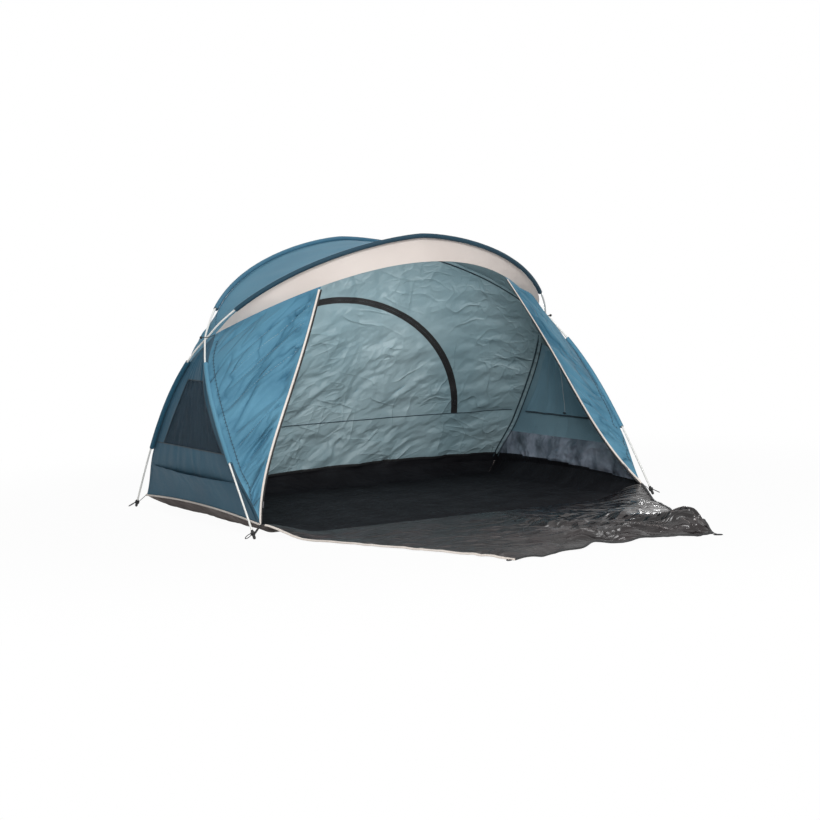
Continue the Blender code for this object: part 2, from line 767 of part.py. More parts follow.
def build_side_wall(side, word, shell, net, inner, trim):
    """Side wall with its netted window, the cover inside it and the sand pocket outside."""
    def place(rows):
        return [[mirror(p, side, 1) for p in row] for row in rows]
    rows = wall_rows()
    distances = leg_stations()
    holes = set()
    for i, (low, high) in enumerate(zip(distances, distances[1:])):
        if WINDOW_SPAN[0] - FRAME_STEP / 100 <= low and high <= WINDOW_SPAN[1] + FRAME_STEP / 100:
            holes |= {(i, j) for j in range(BORDER_COLUMNS, BORDER_COLUMNS + WINDOW_COLUMNS)}
    wall = inset(rows, SEAM_INSET, 0.0, SEAM_INSET, SEAM_INSET)
    cloth(f"side_wall_{word}", place(wall), shell, holes=holes)

    behind = FABRIC + SEAM_GAP / 2
    front_of, back_of = lapped_shares(NET_LAP_WIDTH)
    net_distances = window_distances(NET_LAP_WIDTH)
    net_rows = wall_patch(net_distances, front_of, back_of, WINDOW_COLUMNS, lambda i, j: -behind)
    cloth(f"window_net_{word}", place(net_rows), net)

    front_of, back_of = lapped_shares(COVER_LAP_WIDTH)
    cover_distances = window_distances(COVER_LAP_WIDTH)
    cover_distances.insert(-1, WINDOW_SPAN[1] + NET_LAP_WIDTH + COVER_HEM_WIDTH)
    hem = len(cover_distances) - 1
    length = cover_distances[-2] - cover_distances[0]

    def cover_standoff(i, j):
        if i == hem:
            return -behind
        hang = (cover_distances[-2] - cover_distances[i]) / length
        pleat = COVER_PLEAT * (1 - math.cos(2 * math.pi * COVER_PLEATS * j / COVER_COLUMNS)) / 2
        return -2 * behind - (COVER_STANDOFF + pleat) * min(1.0, hang / COVER_SEWN_SHARE)
    cover_rows = wall_patch(cover_distances, front_of, back_of, COVER_COLUMNS, cover_standoff)
    cover = cloth(f"window_cover_{word}", place(cover_rows), inner)
    top = place(cover_rows)[-1]
    hinge = (top[0] + top[-1]) / 2
    set_origin(cover, hinge)
    print_joint("hinge", f"window_cover_{word}", hinge, Vector((0, side, 0)), COVER_SWING)
    carry(build_window_tie(side, word, cover_rows, trim), cover)

    pocket_rows = [row for row, d in zip(rows, distances) if d <= POCKET_DISTANCE + FRAME_STEP / 100]
    columns = len(pocket_rows[0]) - 1
    out = []
    for i, (row, line) in enumerate(zip(pocket_rows, grid_normals(pocket_rows))):
        up = i / (len(pocket_rows) - 1)
        bulge = POCKET_BULGE * up * up
        stand = [behind + bulge * math.sin(math.pi * j / columns) for j in range(columns + 1)]
        out.append([p + n * d for p, n, d in zip(row, line, stand)])
    pocket = inset(out, 0.0, 0.0, POCKET_INSET, POCKET_INSET)
    pocket[0] = [p.lerp(q, POCKET_FOOT_SHARE) for p, q in zip(pocket[0], pocket[1])]
    cloth(f"sand_pocket_{word}", place(pocket), shell)


def build_window_tie(side, word, cover_rows, material):
    """Tape that hangs from the top of the window cover and ends in a toggle."""
    rows = [row[len(row) // 2] for row in cover_rows]
    normals = [line[len(line) // 2] for line in grid_normals(cover_rows)]
    half = Vector((0, TIE_WIDTH / 2, 0))
    seat = FABRIC / 2 + SHEET / 2 + TIE_GAP
    tape = []
    for k, (point, normal) in enumerate(zip(rows, normals)):
        middle = point - normal * (seat + (COVER_PLEAT if k < len(rows) - 2 else 0.0))
        tape.append([middle - half, middle + half])
    tape = [[mirror(p, side, 1) for p in row] for row in tape[1:]]
    strip = cloth(f"window_tie_{word}", tape, material, thickness=SHEET)
    inward = mirror(-normals[1], side, 1)
    foot = (tape[0][0] + tape[0][1]) / 2 + inward * (TOGGLE_RADIUS / 2)
    long_way = Vector((0, 1, 0))
    up = Vector((0, 0, 1))
    rings = []
    for share, width in TOGGLE_PROFILE_SHARES:
        centre = foot + long_way * (share * TOGGLE_LENGTH / 2)
        radius = TOGGLE_RADIUS * width
        rings.append(ellipse(centre, up, Vector((1, 0, 0)), radius, radius, TIP_SIDES))
    toggle = skin(f"tie_toggle_{word}", rings, material)
    toggle.hide_render = True
    toggle.display_type = "WIRE"
    join = strip.modifiers.new("Toggle", "BOOLEAN")
    join.operation = "UNION"
    join.solver = "EXACT"
    join.object = toggle
    return strip


def rear_wall_rows(end=REAR):
    """Patch between the floor, both legs and the arch, blended from its four sides."""
    legs = leg_stations(CROSS_DISTANCE)
    right_arch = arch_stations(CROSS_DISTANCE)
    signed = [-(HALF_LENGTH - d) for d in right_arch] + [HALF_LENGTH - d for d in right_arch[-2::-1]]
    reach = HALF_LENGTH - CROSS_DISTANCE
    top = [mirror(seam_point(HALF_LENGTH - abs(q)), RIGHT if q >= 0 else LEFT, -end) for q in signed]
    corner = mirror(seam_point(0.0), RIGHT, end)
    rows = []
    for distance in legs:
        v = distance / CROSS_DISTANCE
        right = mirror(seam_point(distance), RIGHT, end)
        left = mirror(right, LEFT, 1)
        row = []
        for q, arch in zip(signed, top):
            u = (q / reach + 1) / 2
            x = (2 * u - 1) * corner.x
            floor = Vector((x, corner.y, floor_edge(x, corner.y)[1]))
            blend = floor * (1 - v) + arch * v + left * (1 - u) + right * u
            corners = mirror(corner, LEFT, 1) * (1 - u) + corner * u
            apexes = top[0] * (1 - u) + top[-1] * u
            slack = math.sin(math.pi * u) * math.sin(math.pi * v)
            fold = WALL_FOLD * slack * math.cos(2 * math.pi * WALL_FOLDS * u)
            row.append(blend - corners * (1 - v) - apexes * v - Vector((0, end * fold, 0)))
        rows.append(row)
    return rows


def rear_point(x, z):
    """Point of the rear wall's grid straight behind a place in the front view."""
    rows = rear_wall_rows()
    best = None
    for low, high in zip(rows, rows[1:]):
        for a, b, c, d in zip(low, low[1:], high[1:], high):
            for p, q, r in ((a, b, c), (a, c, d)):
                area = (q.x - p.x) * (r.z - p.z) - (r.x - p.x) * (q.z - p.z)
                if area == 0:
                    continue
                s = ((x - p.x) * (r.z - p.z) - (r.x - p.x) * (z - p.z)) / area
                t = ((q.x - p.x) * (z - p.z) - (x - p.x) * (q.z - p.z)) / area
                if s >= 0 and t >= 0 and s + t <= 1:
                    best = p + (q - p) * s + (r - p) * t
    return best


def door_circle():
    """Centre height and radius of the circle that the rear door's zip runs along."""
    radius = (REAR_DOOR_HALF ** 2 + REAR_DOOR_RISE ** 2) / (2 * REAR_DOOR_RISE)
    return SEAM_HEIGHT + REAR_DOOR_RISE - radius, radius


def half_round(name, grown, floor, material):
    """Cutter with the rear door's outline, grown by a distance, that runs through the wall."""
    centre, radius = door_circle()
    radius += grown
    start = math.asin((floor - centre) / radius)
    outline = []
    for k in range(REAR_ARC_STEPS + 1):
        angle = start + (math.pi - 2 * start) * k / REAR_ARC_STEPS
        outline.append((radius * math.cos(angle), centre + radius * math.sin(angle)))
    rings = []
    for y in (FLOOR_DEPTH / 2 - CUTTER_DEPTH / 2, FLOOR_DEPTH / 2 + CUTTER_DEPTH / 2):
        rings.append([Vector((x, y, z)) for x, z in outline])
    cutter = skin(name, rings, material)
    cutter.data.shade_flat()
    cutter.hide_render = True
    cutter.display_type = "WIRE"
    return cutter


def cut(obj, cutter, operation):
    """Cut an object with a hidden one."""
    modifier = obj.modifiers.new(cutter.name, "BOOLEAN")
    modifier.operation = operation
    modifier.solver = "EXACT"
    modifier.object = cutter


def build_rear_wall(shell, trim):
    """Rear wall, the half-round door in it and the broad zip round the door."""
    rows = rear_wall_rows()
    last = (len(rows) - 1, len(rows[0]) - 1)
    inner = inset(rows, SEAM_INSET, SEAM_INSET, SEAM_INSET, SEAM_INSET)
    dropped = {(last[0], 0), (last[0], last[1])}
    wall = cloth("rear_wall", inner, shell, dropped=dropped)
    hole = half_round("door_hole", REAR_DOOR_GAP, SEAM_HEIGHT - REAR_DOOR_GAP, trim)
    cut(wall, hole, "DIFFERENCE")

    leaf = half_round("door_leaf", 0.0, SEAM_HEIGHT, trim)
    door = cloth("rear_door", rows, shell)
    cut(door, leaf, "INTERSECT")

    band_out = half_round("zip_outer", REAR_ZIP_WIDTH / 2, SEAM_HEIGHT, trim)
    band_in = half_round("zip_inner", -REAR_ZIP_WIDTH / 2, SEAM_HEIGHT - CUT_OVERRUN, trim)
    band = cloth("rear_door_zip", shifted(rows, FABRIC + SEAM_GAP / 2), trim)
    cut(band, band_out, "INTERSECT")
    cut(band, band_in, "DIFFERENCE")
    hinge = rear_point(0.0, SEAM_HEIGHT) + Vector((0, FABRIC / 2, 0))
    set_origin(door, hinge)
    print_joint("hinge", "rear_door", hinge, Vector((-1, 0, 0)), REAR_DOOR_SWING)


# Floor and porch

def build_groundsheet(material):
    """Tray floor with its borders drawn up to the walls."""
    half_x = FLOOR_WIDTH / 2
    half_y = FLOOR_DEPTH / 2
    def line(half, steps):
        inner = half - BORDER
        middle = [-inner + 2 * inner * i / (steps - 4) for i in range(steps - 3)]
        return [-half, -half + BORDER / 2] + middle + [half - BORDER / 2, half]
    rows = []
    for y in line(half_y, FLOOR_ROWS):
        row = []
        for x in line(half_x, FLOOR_COLUMNS):
            side, back, front = floor_edge(x, y)
            flat = SHEET / 2
            near_side = max(0.0, 1 - (half_x - abs(x)) / BORDER) ** 2
            near_end = max(0.0, 1 - (half_y - abs(y)) / BORDER) ** 2
            end = front if y < 0 else back
            height = flat + max((side - flat) * near_side, (end - flat) * near_end)
            bulge = FRONT_BULGE * (1 - (x / half_x) ** 4) * near_end if y < 0 else 0.0
            row.append(Vector((x, y - bulge, height)))
        rows.append(row)
    inner = inset(rows, 0.0, 2 * SEAM_INSET, 2 * SEAM_INSET, 2 * SEAM_INSET)
    cloth("groundsheet", inner, material, thickness=SHEET)


def apron_rows():
    """Porch apron on the ground, calm at its hinge and rumpled farther out."""
    rows = []
    inner_y = -FLOOR_DEPTH / 2 - APRON_HINGE_GAP
    for i in range(APRON_ROWS + 1):
        out = i / APRON_ROWS
        half = APRON_INNER_HALF + (APRON_OUTER_HALF - APRON_INNER_HALF) * out
        row = []
        for j in range(APRON_COLUMNS + 1):
            share = 2 * j / APRON_COLUMNS - 1
            wave = 0.0
            for strength, across, outward, start in APRON_SWELL_SHARES:
                wave += strength * math.sin(2 * math.pi * (across * share + outward * out + start))
            calm = smoothstep(out * APRON_LENGTH / APRON_CALM - 1)
            height = SHEET / 2 + APRON_WAVE * calm * max(0.0, APRON_RISE_SHARE * (1 + wave))
            cycles, start = APRON_DRAW_SHARES
            drawn = APRON_DRAW * math.sin(2 * math.pi * (cycles * share + start)) * out ** 3
            row.append(Vector((half * share, inner_y - APRON_LENGTH * out + drawn, height)))
        rows.append(row)
    return rows


def build_apron(sheet, trim):
    """The door panel laid forward on the ground, with a peg loop at each outer corner."""
    rows = apron_rows()
    apron = cloth("porch_apron", rows, sheet, thickness=SHEET)
    hinge = Vector((0, -FLOOR_DEPTH / 2 - APRON_HINGE_GAP, SHEET / 2))
    set_origin(apron, hinge)
    print_joint("hinge", "porch_apron", hinge, Vector((-1, 0, 0)), APRON_SWING)
    for word, corner in (("left", rows[-1][0]), ("right", rows[-1][-1])):
        side = LEFT if word == "left" else RIGHT
        away = Vector((side, -1, 0)).normalized()
        reach = LOOP_LENGTH / 2 + LOOP_CORD + SLIDER_GAP
        centre = Vector((corner.x, corner.y, max(corner.z, LOOP_CORD))) + away * reach
        carry(peg_loop(f"apron_peg_loop_{word}", centre, away, Vector((0, 0, 1)), trim), apron)


def peg_loop(name, centre, away, up, material):
    """Closed loop of cord, longer away from the tent than across."""
    across = up.cross(away).normalized()
    route = []
    for k in range(LOOP_STEPS):
        angle = 2 * math.pi * k / LOOP_STEPS
        route.append(centre + away * (LOOP_LENGTH / 2 * math.cos(angle))
                     + across * (LOOP_WIDTH / 2 * math.sin(angle)))
    rings = []
    for k, point in enumerate(route):
        along = (route[(k + 1) % LOOP_STEPS] - route[k - 1]).normalized()
        rings.append(ellipse(point, up, along.cross(up).normalized(), LOOP_CORD, LOOP_CORD, LOOP_SIDES))
    return skin(name, rings, material, looped=True)


# Corner fittings

def build_corner(side, end, word, rod, trim):
    """Pole tip, and the strap from the floor corner that ends in a collar and a peg loop."""
    foot = mirror(STATION_POINTS[0], side, end)
    up = mirror(STATION_POINTS[1] - STATION_POINTS[0], side, end).normalized()
    outward = mirror(STATION_FRAMES[0][1], side, end)
    across = outward.cross(up).normalized()
    bore = POLE_RADIUS + SOCKET_GAP
    profile = [(-TIP_NOSE * d, TIP_RADIUS * r) for d, r in TIP_NOSE_SHARES]
    profile += [(0.0, TIP_RADIUS), (TIP_DEPTH, TIP_MOUTH_RADIUS), (TIP_DEPTH, bore), (-END_GAP, bore)]
    rings = [ellipse(foot + up * d, outward, across, r, r, TIP_SIDES) for d, r in profile]
    skin(f"pole_tip_{word}", rings, rod)

    middle = foot + up * COLLAR_LIFT
    inner_radius = TIP_RADIUS + SOCKET_GAP
    collar_rings = []
    for radius, lift in ((COLLAR_RADIUS, 0.0), (COLLAR_RADIUS, COLLAR_HEIGHT), (inner_radius, COLLAR_HEIGHT),
                         (inner_radius, 0.0)):
        collar_rings.append(ellipse(middle + up * lift, outward, across, radius, radius, TIP_SIDES))
    collar = skin(f"corner_strap_{word}", collar_rings, trim, looped=True)

    corner = mirror(Vector((FLOOR_WIDTH / 2, FLOOR_DEPTH / 2, CORNER_HEIGHT)), side, end)
    away = Vector((side, end, 0)).normalized()
    start = corner + away * STRAP_START
    rim = middle + up * (COLLAR_HEIGHT / 2)
    level = (start - rim) - up * (start - rim).dot(up)
    stop = rim + level.normalized() * (COLLAR_RADIUS + inner_radius) / 2
    toward = (start - stop).normalized()
    broad = toward.cross(Vector((0, 0, 1))).normalized()
    thin = broad.cross(toward).normalized()
    strap_rings = []
    for point in (stop, start):
        strap_rings.append([point + broad * (a * STRAP_WIDTH / 2) + thin * (b * STRAP_THICK / 2)
                            for a, b in ((-1, -1), (1, -1), (1, 1), (-1, 1))])
    strap = skin(f"strap_web_{word}", strap_rings, trim)
    seat = middle + up * (COLLAR_HEIGHT / 2) + Vector((side, 0, 0)) * (COLLAR_RADIUS + inner_radius) / 2
    fall = Vector((side, end * LOOP_TURN_SHARE, -LOOP_FALL_SHARE)).normalized()
    loop_centre = seat + fall * (LOOP_LENGTH / 2)
    over = (Vector((0, 0, 1)) - fall * fall.z).normalized()
    loop = peg_loop(f"peg_ring_{word}", loop_centre, fall, over, trim)
    for piece in (strap, loop):
        piece.hide_render = True
        piece.display_type = "WIRE"
        modifier = collar.modifiers.new(piece.name, "BOOLEAN")
        modifier.operation = "UNION"
        modifier.solver = "EXACT"
        modifier.object = piece


def tie_halves():
    """Half length and half width of a level tie that clears both slanted poles where they cross."""
    along = STATION_FRAMES[STATIONS.index(CROSS_DISTANCE)][0]
    shift = cross_normal() * CROSS_SHIFT
    halves = []
    for axis, spare in ((0, TIE_LONG_EASE), (1, TIE_SHORT_EASE)):
        slant = along[axis] / along.z
        aside = abs(shift[axis] - shift.z * slant)
        halves.append(aside + (POLE_RADIUS + TIE_CORD) * math.hypot(1, slant) + TIE_CORD * abs(slant) + spare)
    return halves


def build_crossing(side, word, trim):
    """Elastic tie round both poles where they cross, and the ball that it is hooked over."""
    cross = mirror(STATION_POINTS[STATIONS.index(CROSS_DISTANCE)], side, 1)
    tie_long, tie_short = tie_halves()
    outward = Vector((side, 0, 0))
    route = []
    for k in range(LOOP_STEPS):
        angle = 2 * math.pi * k / LOOP_STEPS
        aside = Vector((0, tie_short * math.sin(angle), 0))
        route.append(cross + outward * (tie_long * math.cos(angle)) + aside)
    up = Vector((0, 0, 1))
    rings = []
    for k, point in enumerate(route):
        along = (route[(k + 1) % LOOP_STEPS] - route[k - 1]).normalized()
        rings.append(ellipse(point, up, along.cross(up).normalized(), TIE_CORD, TIE_CORD, LOOP_SIDES))
    tie = skin(f"crossing_tie_{word}", rings, trim, looped=True)
    start = cross - outward * tie_long
    stop = start - outward * TIE_TAIL + up * APEX_RISE
    way = (stop - start).normalized()
    aside = way.cross(up).normalized()
    tail = skin(f"tie_tail_{word}", [ellipse(p, aside, way.cross(aside), TIE_CORD, TIE_CORD, LOOP_SIDES)
                                     for p in (start - way * TIE_CORD / 2, stop)], trim)
    tail.hide_render = True
    tail.display_type = "WIRE"
    modifier = tie.modifiers.new("Tail", "BOOLEAN")
    modifier.operation = "UNION"
    modifier.solver = "EXACT"
    modifier.object = tail
    centre = cross + outward * (tie_long + TIE_CORD + BALL_RADIUS + SLIDER_GAP)
    rings = []
    for k in range(1, POLE_SIDES):
        angle = math.pi * k / POLE_SIDES
        rings.append(ellipse(centre - up * (BALL_RADIUS * math.cos(angle)), outward, Vector((0, 1, 0)),
                             BALL_RADIUS * math.sin(angle), BALL_RADIUS * math.sin(angle), TIP_SIDES))
    skin(f"crossing_ball_{word}", rings, trim)


# Zip sliders

def block(name, centre, along, across, up, size, material):
    """Rounded block with its three edges along given directions."""
    builder = bmesh.new()
    bmesh.ops.create_cube(builder, size=1.0)
    for vertex in builder.verts:
        x, y, z = vertex.co
        vertex.co = centre + along * (x * size[0]) + across * (y * size[1]) + up * (z * size[2])
    return add_object(name, builder, material, bevel=min(CORNER_ROUND, min(size) / 3))


def circle_through(first, second, third):
    """Centre, axis and turn of the circle that runs from one point through another to a third."""
    ab = second - first
    ac = third - first
    normal = ab.cross(ac)
    centre = first + (normal.cross(ab) * ac.length_squared + ac.cross(normal) * ab.length_squared) \
        / (2 * normal.length_squared)
    axis = normal.normalized()
    start = first - centre
    stop = third - centre
    turn = math.atan2(axis.dot(start.cross(stop)), start.dot(stop))
    return centre, axis, turn if turn > 0 else turn + 2 * math.pi


def build_slider(word, seat, along, across, up, metal):
    """Zip slider on its tape, with a pull that lies on it."""
    body = seat + up * (SLIDER_GAP + SLIDER_THICK / 2)
    size = (SLIDER_LENGTH, SLIDER_WIDTH, SLIDER_THICK)
    slider = block(f"zip_slider_{word}", body, along, across, up, size, metal)
    set_origin(slider, body)
    pivot = body + up * (SLIDER_THICK / 2 + PULL_GAP + PULL_THICK / 2)
    pull_centre = pivot + along * (PULL_LENGTH / 2 - PULL_THICK / 2)
    size = (PULL_LENGTH, PULL_WIDTH, PULL_THICK)
    pull = block(f"zip_pull_{word}", pull_centre, along, across, up, size, metal)
    set_origin(pull, pivot)
    carry(pull, slider)
    print_joint("hinge", f"zip_pull_{word}", pivot, along.cross(up), math.pi / 2)
    return slider


def tape_seat(tape, travelled):
    """Middle of a zip tape at a distance from its lower end, with its directions."""
    middles = [(row[0] + row[1]) / 2 for row in tape]
    k = 0
    while travelled > (middles[k + 1] - middles[k]).length:
        travelled -= (middles[k + 1] - middles[k]).length
        k += 1
    run = middles[k + 1] - middles[k]
    along = run.normalized()
    aside = (tape[k][1] - tape[k][0]).lerp(tape[k + 1][1] - tape[k + 1][0], travelled / run.length)
    up = along.cross(aside).normalized()
    if up.y > 0:
        up = -up
    across = up.cross(along).normalized()
    return middles[k] + along * travelled, along, across, up


def build_front_slider(word, tape, metal):
    """Slider at the foot of a doorway zip, which runs up the outside of its tape."""
    length = sum(((b[0] + b[1]) / 2 - (a[0] + a[1]) / 2).length for a, b in zip(tape, tape[1:]))
    seat, along, across, up = tape_seat(tape, SLIDER_PARK)
    slider = build_slider(word, seat + up * (FABRIC / 2), along, across, up, metal)
    top, there, aside, face = tape_seat(tape, length - SLIDER_PARK - ZIP_TRIM)
    travel = top + face * (FABRIC / 2 + SLIDER_CLEAR + SLIDER_THICK / 2) - slider.location
    print_joint("slide", f"zip_slider_{word}", slider.location, travel.normalized(), travel.length)


def build_rear_slider(metal):
    """Slider inside the rear door, at the foot of the right side of its zip."""
    centre, radius = door_circle()
    angle = math.asin((SEAM_HEIGHT + SLIDER_PARK - centre) / radius)
    x = radius * math.cos(angle)
    z = centre + radius * math.sin(angle)
    here = rear_point(x, z)
    beside = rear_point(x - SLIDER_LENGTH, z)
    above = rear_point(x - SLIDER_LENGTH * math.sin(angle), z + SLIDER_LENGTH * math.cos(angle))
    along = (above - here).normalized()
    up = (beside - here).cross(above - here).normalized()
    if up.y > 0:
        up = -up
    across = up.cross(along).normalized()
    seat = here + up * (2 * FABRIC + SEAM_GAP / 2)
    slider = build_slider("rear", seat, along, across, up, metal)
    body = slider.location.copy()
    top = rear_point(0.0, centre + radius) - Vector((0, REAR_TRACK_BOW, 0))
    middle, axis, turn = circle_through(body, top, mirror(body, LEFT, 1))
    carry(slider, add_pivot("rear_zip_track", middle))
    print_joint("hinge", "zip_slider_rear", middle, axis, turn)


def main():
    """Build the whole tent."""
    for obj in list(bpy.data.objects):
        bpy.data.objects.remove(obj, do_unlink=True)
    shell = make_material("shell", 0.7)
    sleeve = make_material("sleeve", 0.75)
    pale = make_material("visor", 0.8)
    inner = make_material("inner", 0.7)
    sheet = make_material("sheet", 0.35)
    net = make_material("net", 0.9)
    rod = make_material("rod", 0.4)
    trim = make_material("trim", 0.7)
    metal = make_material("metal", 0.35, 0.9)

    build_pole("rear_arch_pole", FRONT, rod)
    build_pole("front_arch_pole", REAR, rod)
    build_sleeves(sleeve)
    build_roof(shell)
    build_visor(pale)
    build_rear_wall(shell, trim)
    build_rear_slider(metal)
    for side, word in ((LEFT, "left"), (RIGHT, "right")):
        tape = build_front_panel(side, word, shell, trim)
        build_front_slider(word, tape, metal)
        build_side_wall(side, word, shell, net, inner, trim)
        build_crossing(side, word, trim)
        for end, place in ((FRONT, "front"), (REAR, "back")):
            build_corner(side, end, f"{place}_{word}", rod, trim)
    build_groundsheet(sheet)
    build_apron(sheet, trim)


main()
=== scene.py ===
"""Looks of a two-pole beach tent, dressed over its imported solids.

Metres, Z up. X runs across the tent and the front faces -Y. Left and right are those of someone who
looks in from the front. Every panel of cloth is a surface that is folded, cut and given a thickness.
"""

import logging
import math
from dataclasses import dataclass
from enum import Enum
from functools import cached_property
from typing import ClassVar, Iterable, Sequence

import bpy
import numpy as np
from mathutils import Matrix, Vector


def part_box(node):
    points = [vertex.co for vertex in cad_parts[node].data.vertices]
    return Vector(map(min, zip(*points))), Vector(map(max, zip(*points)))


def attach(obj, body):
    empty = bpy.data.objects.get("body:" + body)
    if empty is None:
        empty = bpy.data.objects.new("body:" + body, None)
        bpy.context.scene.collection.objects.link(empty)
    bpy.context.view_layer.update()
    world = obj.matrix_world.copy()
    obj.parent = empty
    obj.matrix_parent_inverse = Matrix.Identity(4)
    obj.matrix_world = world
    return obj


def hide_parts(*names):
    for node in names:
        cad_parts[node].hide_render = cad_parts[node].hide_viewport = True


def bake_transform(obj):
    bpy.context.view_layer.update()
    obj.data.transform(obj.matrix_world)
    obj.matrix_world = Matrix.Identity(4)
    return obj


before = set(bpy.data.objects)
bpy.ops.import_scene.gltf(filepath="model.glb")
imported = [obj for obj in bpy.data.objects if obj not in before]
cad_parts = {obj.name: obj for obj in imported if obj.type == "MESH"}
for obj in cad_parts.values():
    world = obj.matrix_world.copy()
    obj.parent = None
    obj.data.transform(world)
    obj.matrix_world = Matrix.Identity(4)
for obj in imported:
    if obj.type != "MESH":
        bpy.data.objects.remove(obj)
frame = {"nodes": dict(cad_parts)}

log = logging.getLogger("beach_tent")

Array = np.ndarray
Triple = tuple[float, float, float]
Faces = Sequence[Sequence[int]]
Line = tuple[Array | float, Array | float]
Piece = bpy.types.Object

LEFT = -1
RIGHT = 1
FRONT = -1
REAR = 1
SIDES = ((LEFT, "left"), (RIGHT, "right"))
ENDS = ((FRONT, "front"), (REAR, "back"))
TURN = 2 * math.pi
TO_FRONT = np.array([1, -1, 1])
TO_LEFT = np.array([-1, 1, 1])
WHITE = (1.0, 1.0, 1.0, 1.0)


def linear(colour: Triple) -> Triple:
    """Turn an 8-bit screen colour into a linear one."""
    shares = (level / 255 for level in colour)
    return tuple(share / 12.92 if share <= 0.04045 else ((share + 0.055) / 1.055) ** 2.4 for share in shares)


def ease(share: Array) -> Array:
    """Ease from 0 to 1 with level ends."""
    share = np.clip(share, 0.0, 1.0)
    return share * share * (3 - 2 * share)


def unit(vectors: Array) -> Array:
    """Vectors of length one."""
    return vectors / np.maximum(np.linalg.norm(vectors, axis=-1, keepdims=True), 1e-12)


def mixed(first: Array, second: Array, share: Array) -> Array:
    """Points a share of the way from one row of points to another."""
    share = np.asarray(share)[..., None]
    return first * (1 - share) + second * share


def pair(u: Array | float, v: Array | float) -> Line:
    """Two numbers or arrays as arrays of one shape."""
    return np.broadcast_arrays(np.asarray(u, float), np.asarray(v, float))


def linked(name: str, data: bpy.types.ID) -> Piece:
    """New object in the scene that holds some data."""
    obj = bpy.data.objects.new(name, data)
    bpy.context.scene.collection.objects.link(obj)
    return obj


# Node trees


class Value:
    """A node's output that takes part in sums written as Python expressions."""

    def __init__(self, tree: "Tree", socket: bpy.types.NodeSocket) -> None:
        """Wrap an output of a tree's node."""
        self.tree = tree
        self.socket = socket

    def other(self, output: int | str) -> "Value":
        """Another output of the same node."""
        return Value(self.tree, self.socket.node.outputs[output])

    def _math(self, operation: str, *terms: "Value | float") -> "Value":
        """Add one Math node."""
        return self.tree.node("ShaderNodeMath", {"operation": operation}, dict(enumerate(terms)))

    def __add__(self, other: "Value | float") -> "Value":
        """Sum."""
        return self._math("ADD", self, other)

    __radd__ = __add__

    def __sub__(self, other: "Value | float") -> "Value":
        """Difference."""
        return self._math("SUBTRACT", self, other)

    def __rsub__(self, other: float) -> "Value":
        """Difference from a number."""
        return self._math("SUBTRACT", other, self)

    def __mul__(self, other: "Value | float") -> "Value":
        """Product."""
        return self._math("MULTIPLY", self, other)

    __rmul__ = __mul__

    def __abs__(self) -> "Value":
        """Size without sign."""
        return self._math("ABSOLUTE", self)

    def sine(self) -> "Value":
        """Sine."""
        return self._math("SINE", self)

    def most(self, other: "Value") -> "Value":
        """Larger of two values."""
        return self._math("MAXIMUM", self, other)


class Tree:
    """Node tree whose nodes come from one method."""

    def __init__(self, tree: bpy.types.NodeTree) -> None:
        """Wrap a tree."""
        self.tree = tree

    def node(self, kind: str, settings: dict | None = None, inputs: dict | None = None,
             output: int | str = 0) -> Value:
        """Add a node.

        Args:
            kind: Type of the node.
            settings: Its own settings, set before its sockets. The key stops holds a ramp's stops.
            inputs: Values or links of its sockets, by name or number.
            output: The socket to return.

        Returns:
            The output as a value.
        """
        made = self.tree.nodes.new(kind)
        for key, value in (settings or {}).items():
            if key == "stops":
                self._stops(made.color_ramp, value)
            else:
                setattr(made, key, value)
        for key, value in (inputs or {}).items():
            if isinstance(value, Value):
                self.tree.links.new(value.socket, made.inputs[key])
            else:
                made.inputs[key].default_value = value
        return Value(self, made.outputs[output])

    @staticmethod
    def _stops(ramp: bpy.types.ColorRamp, stops: Sequence[tuple[float, float]]) -> None:
        """Set a ramp's grey stops."""
        while len(ramp.elements) < len(stops):
            ramp.elements.new(0.5)
        for element, (place, level) in zip(ramp.elements, stops):
            element.position = place
            element.color = (level, level, level, 1)

    def end(self, kind: str, value: Value) -> None:
        """Add the node that a tree ends in."""
        self.tree.links.new(value.socket, self.tree.nodes.new(kind).inputs[0])


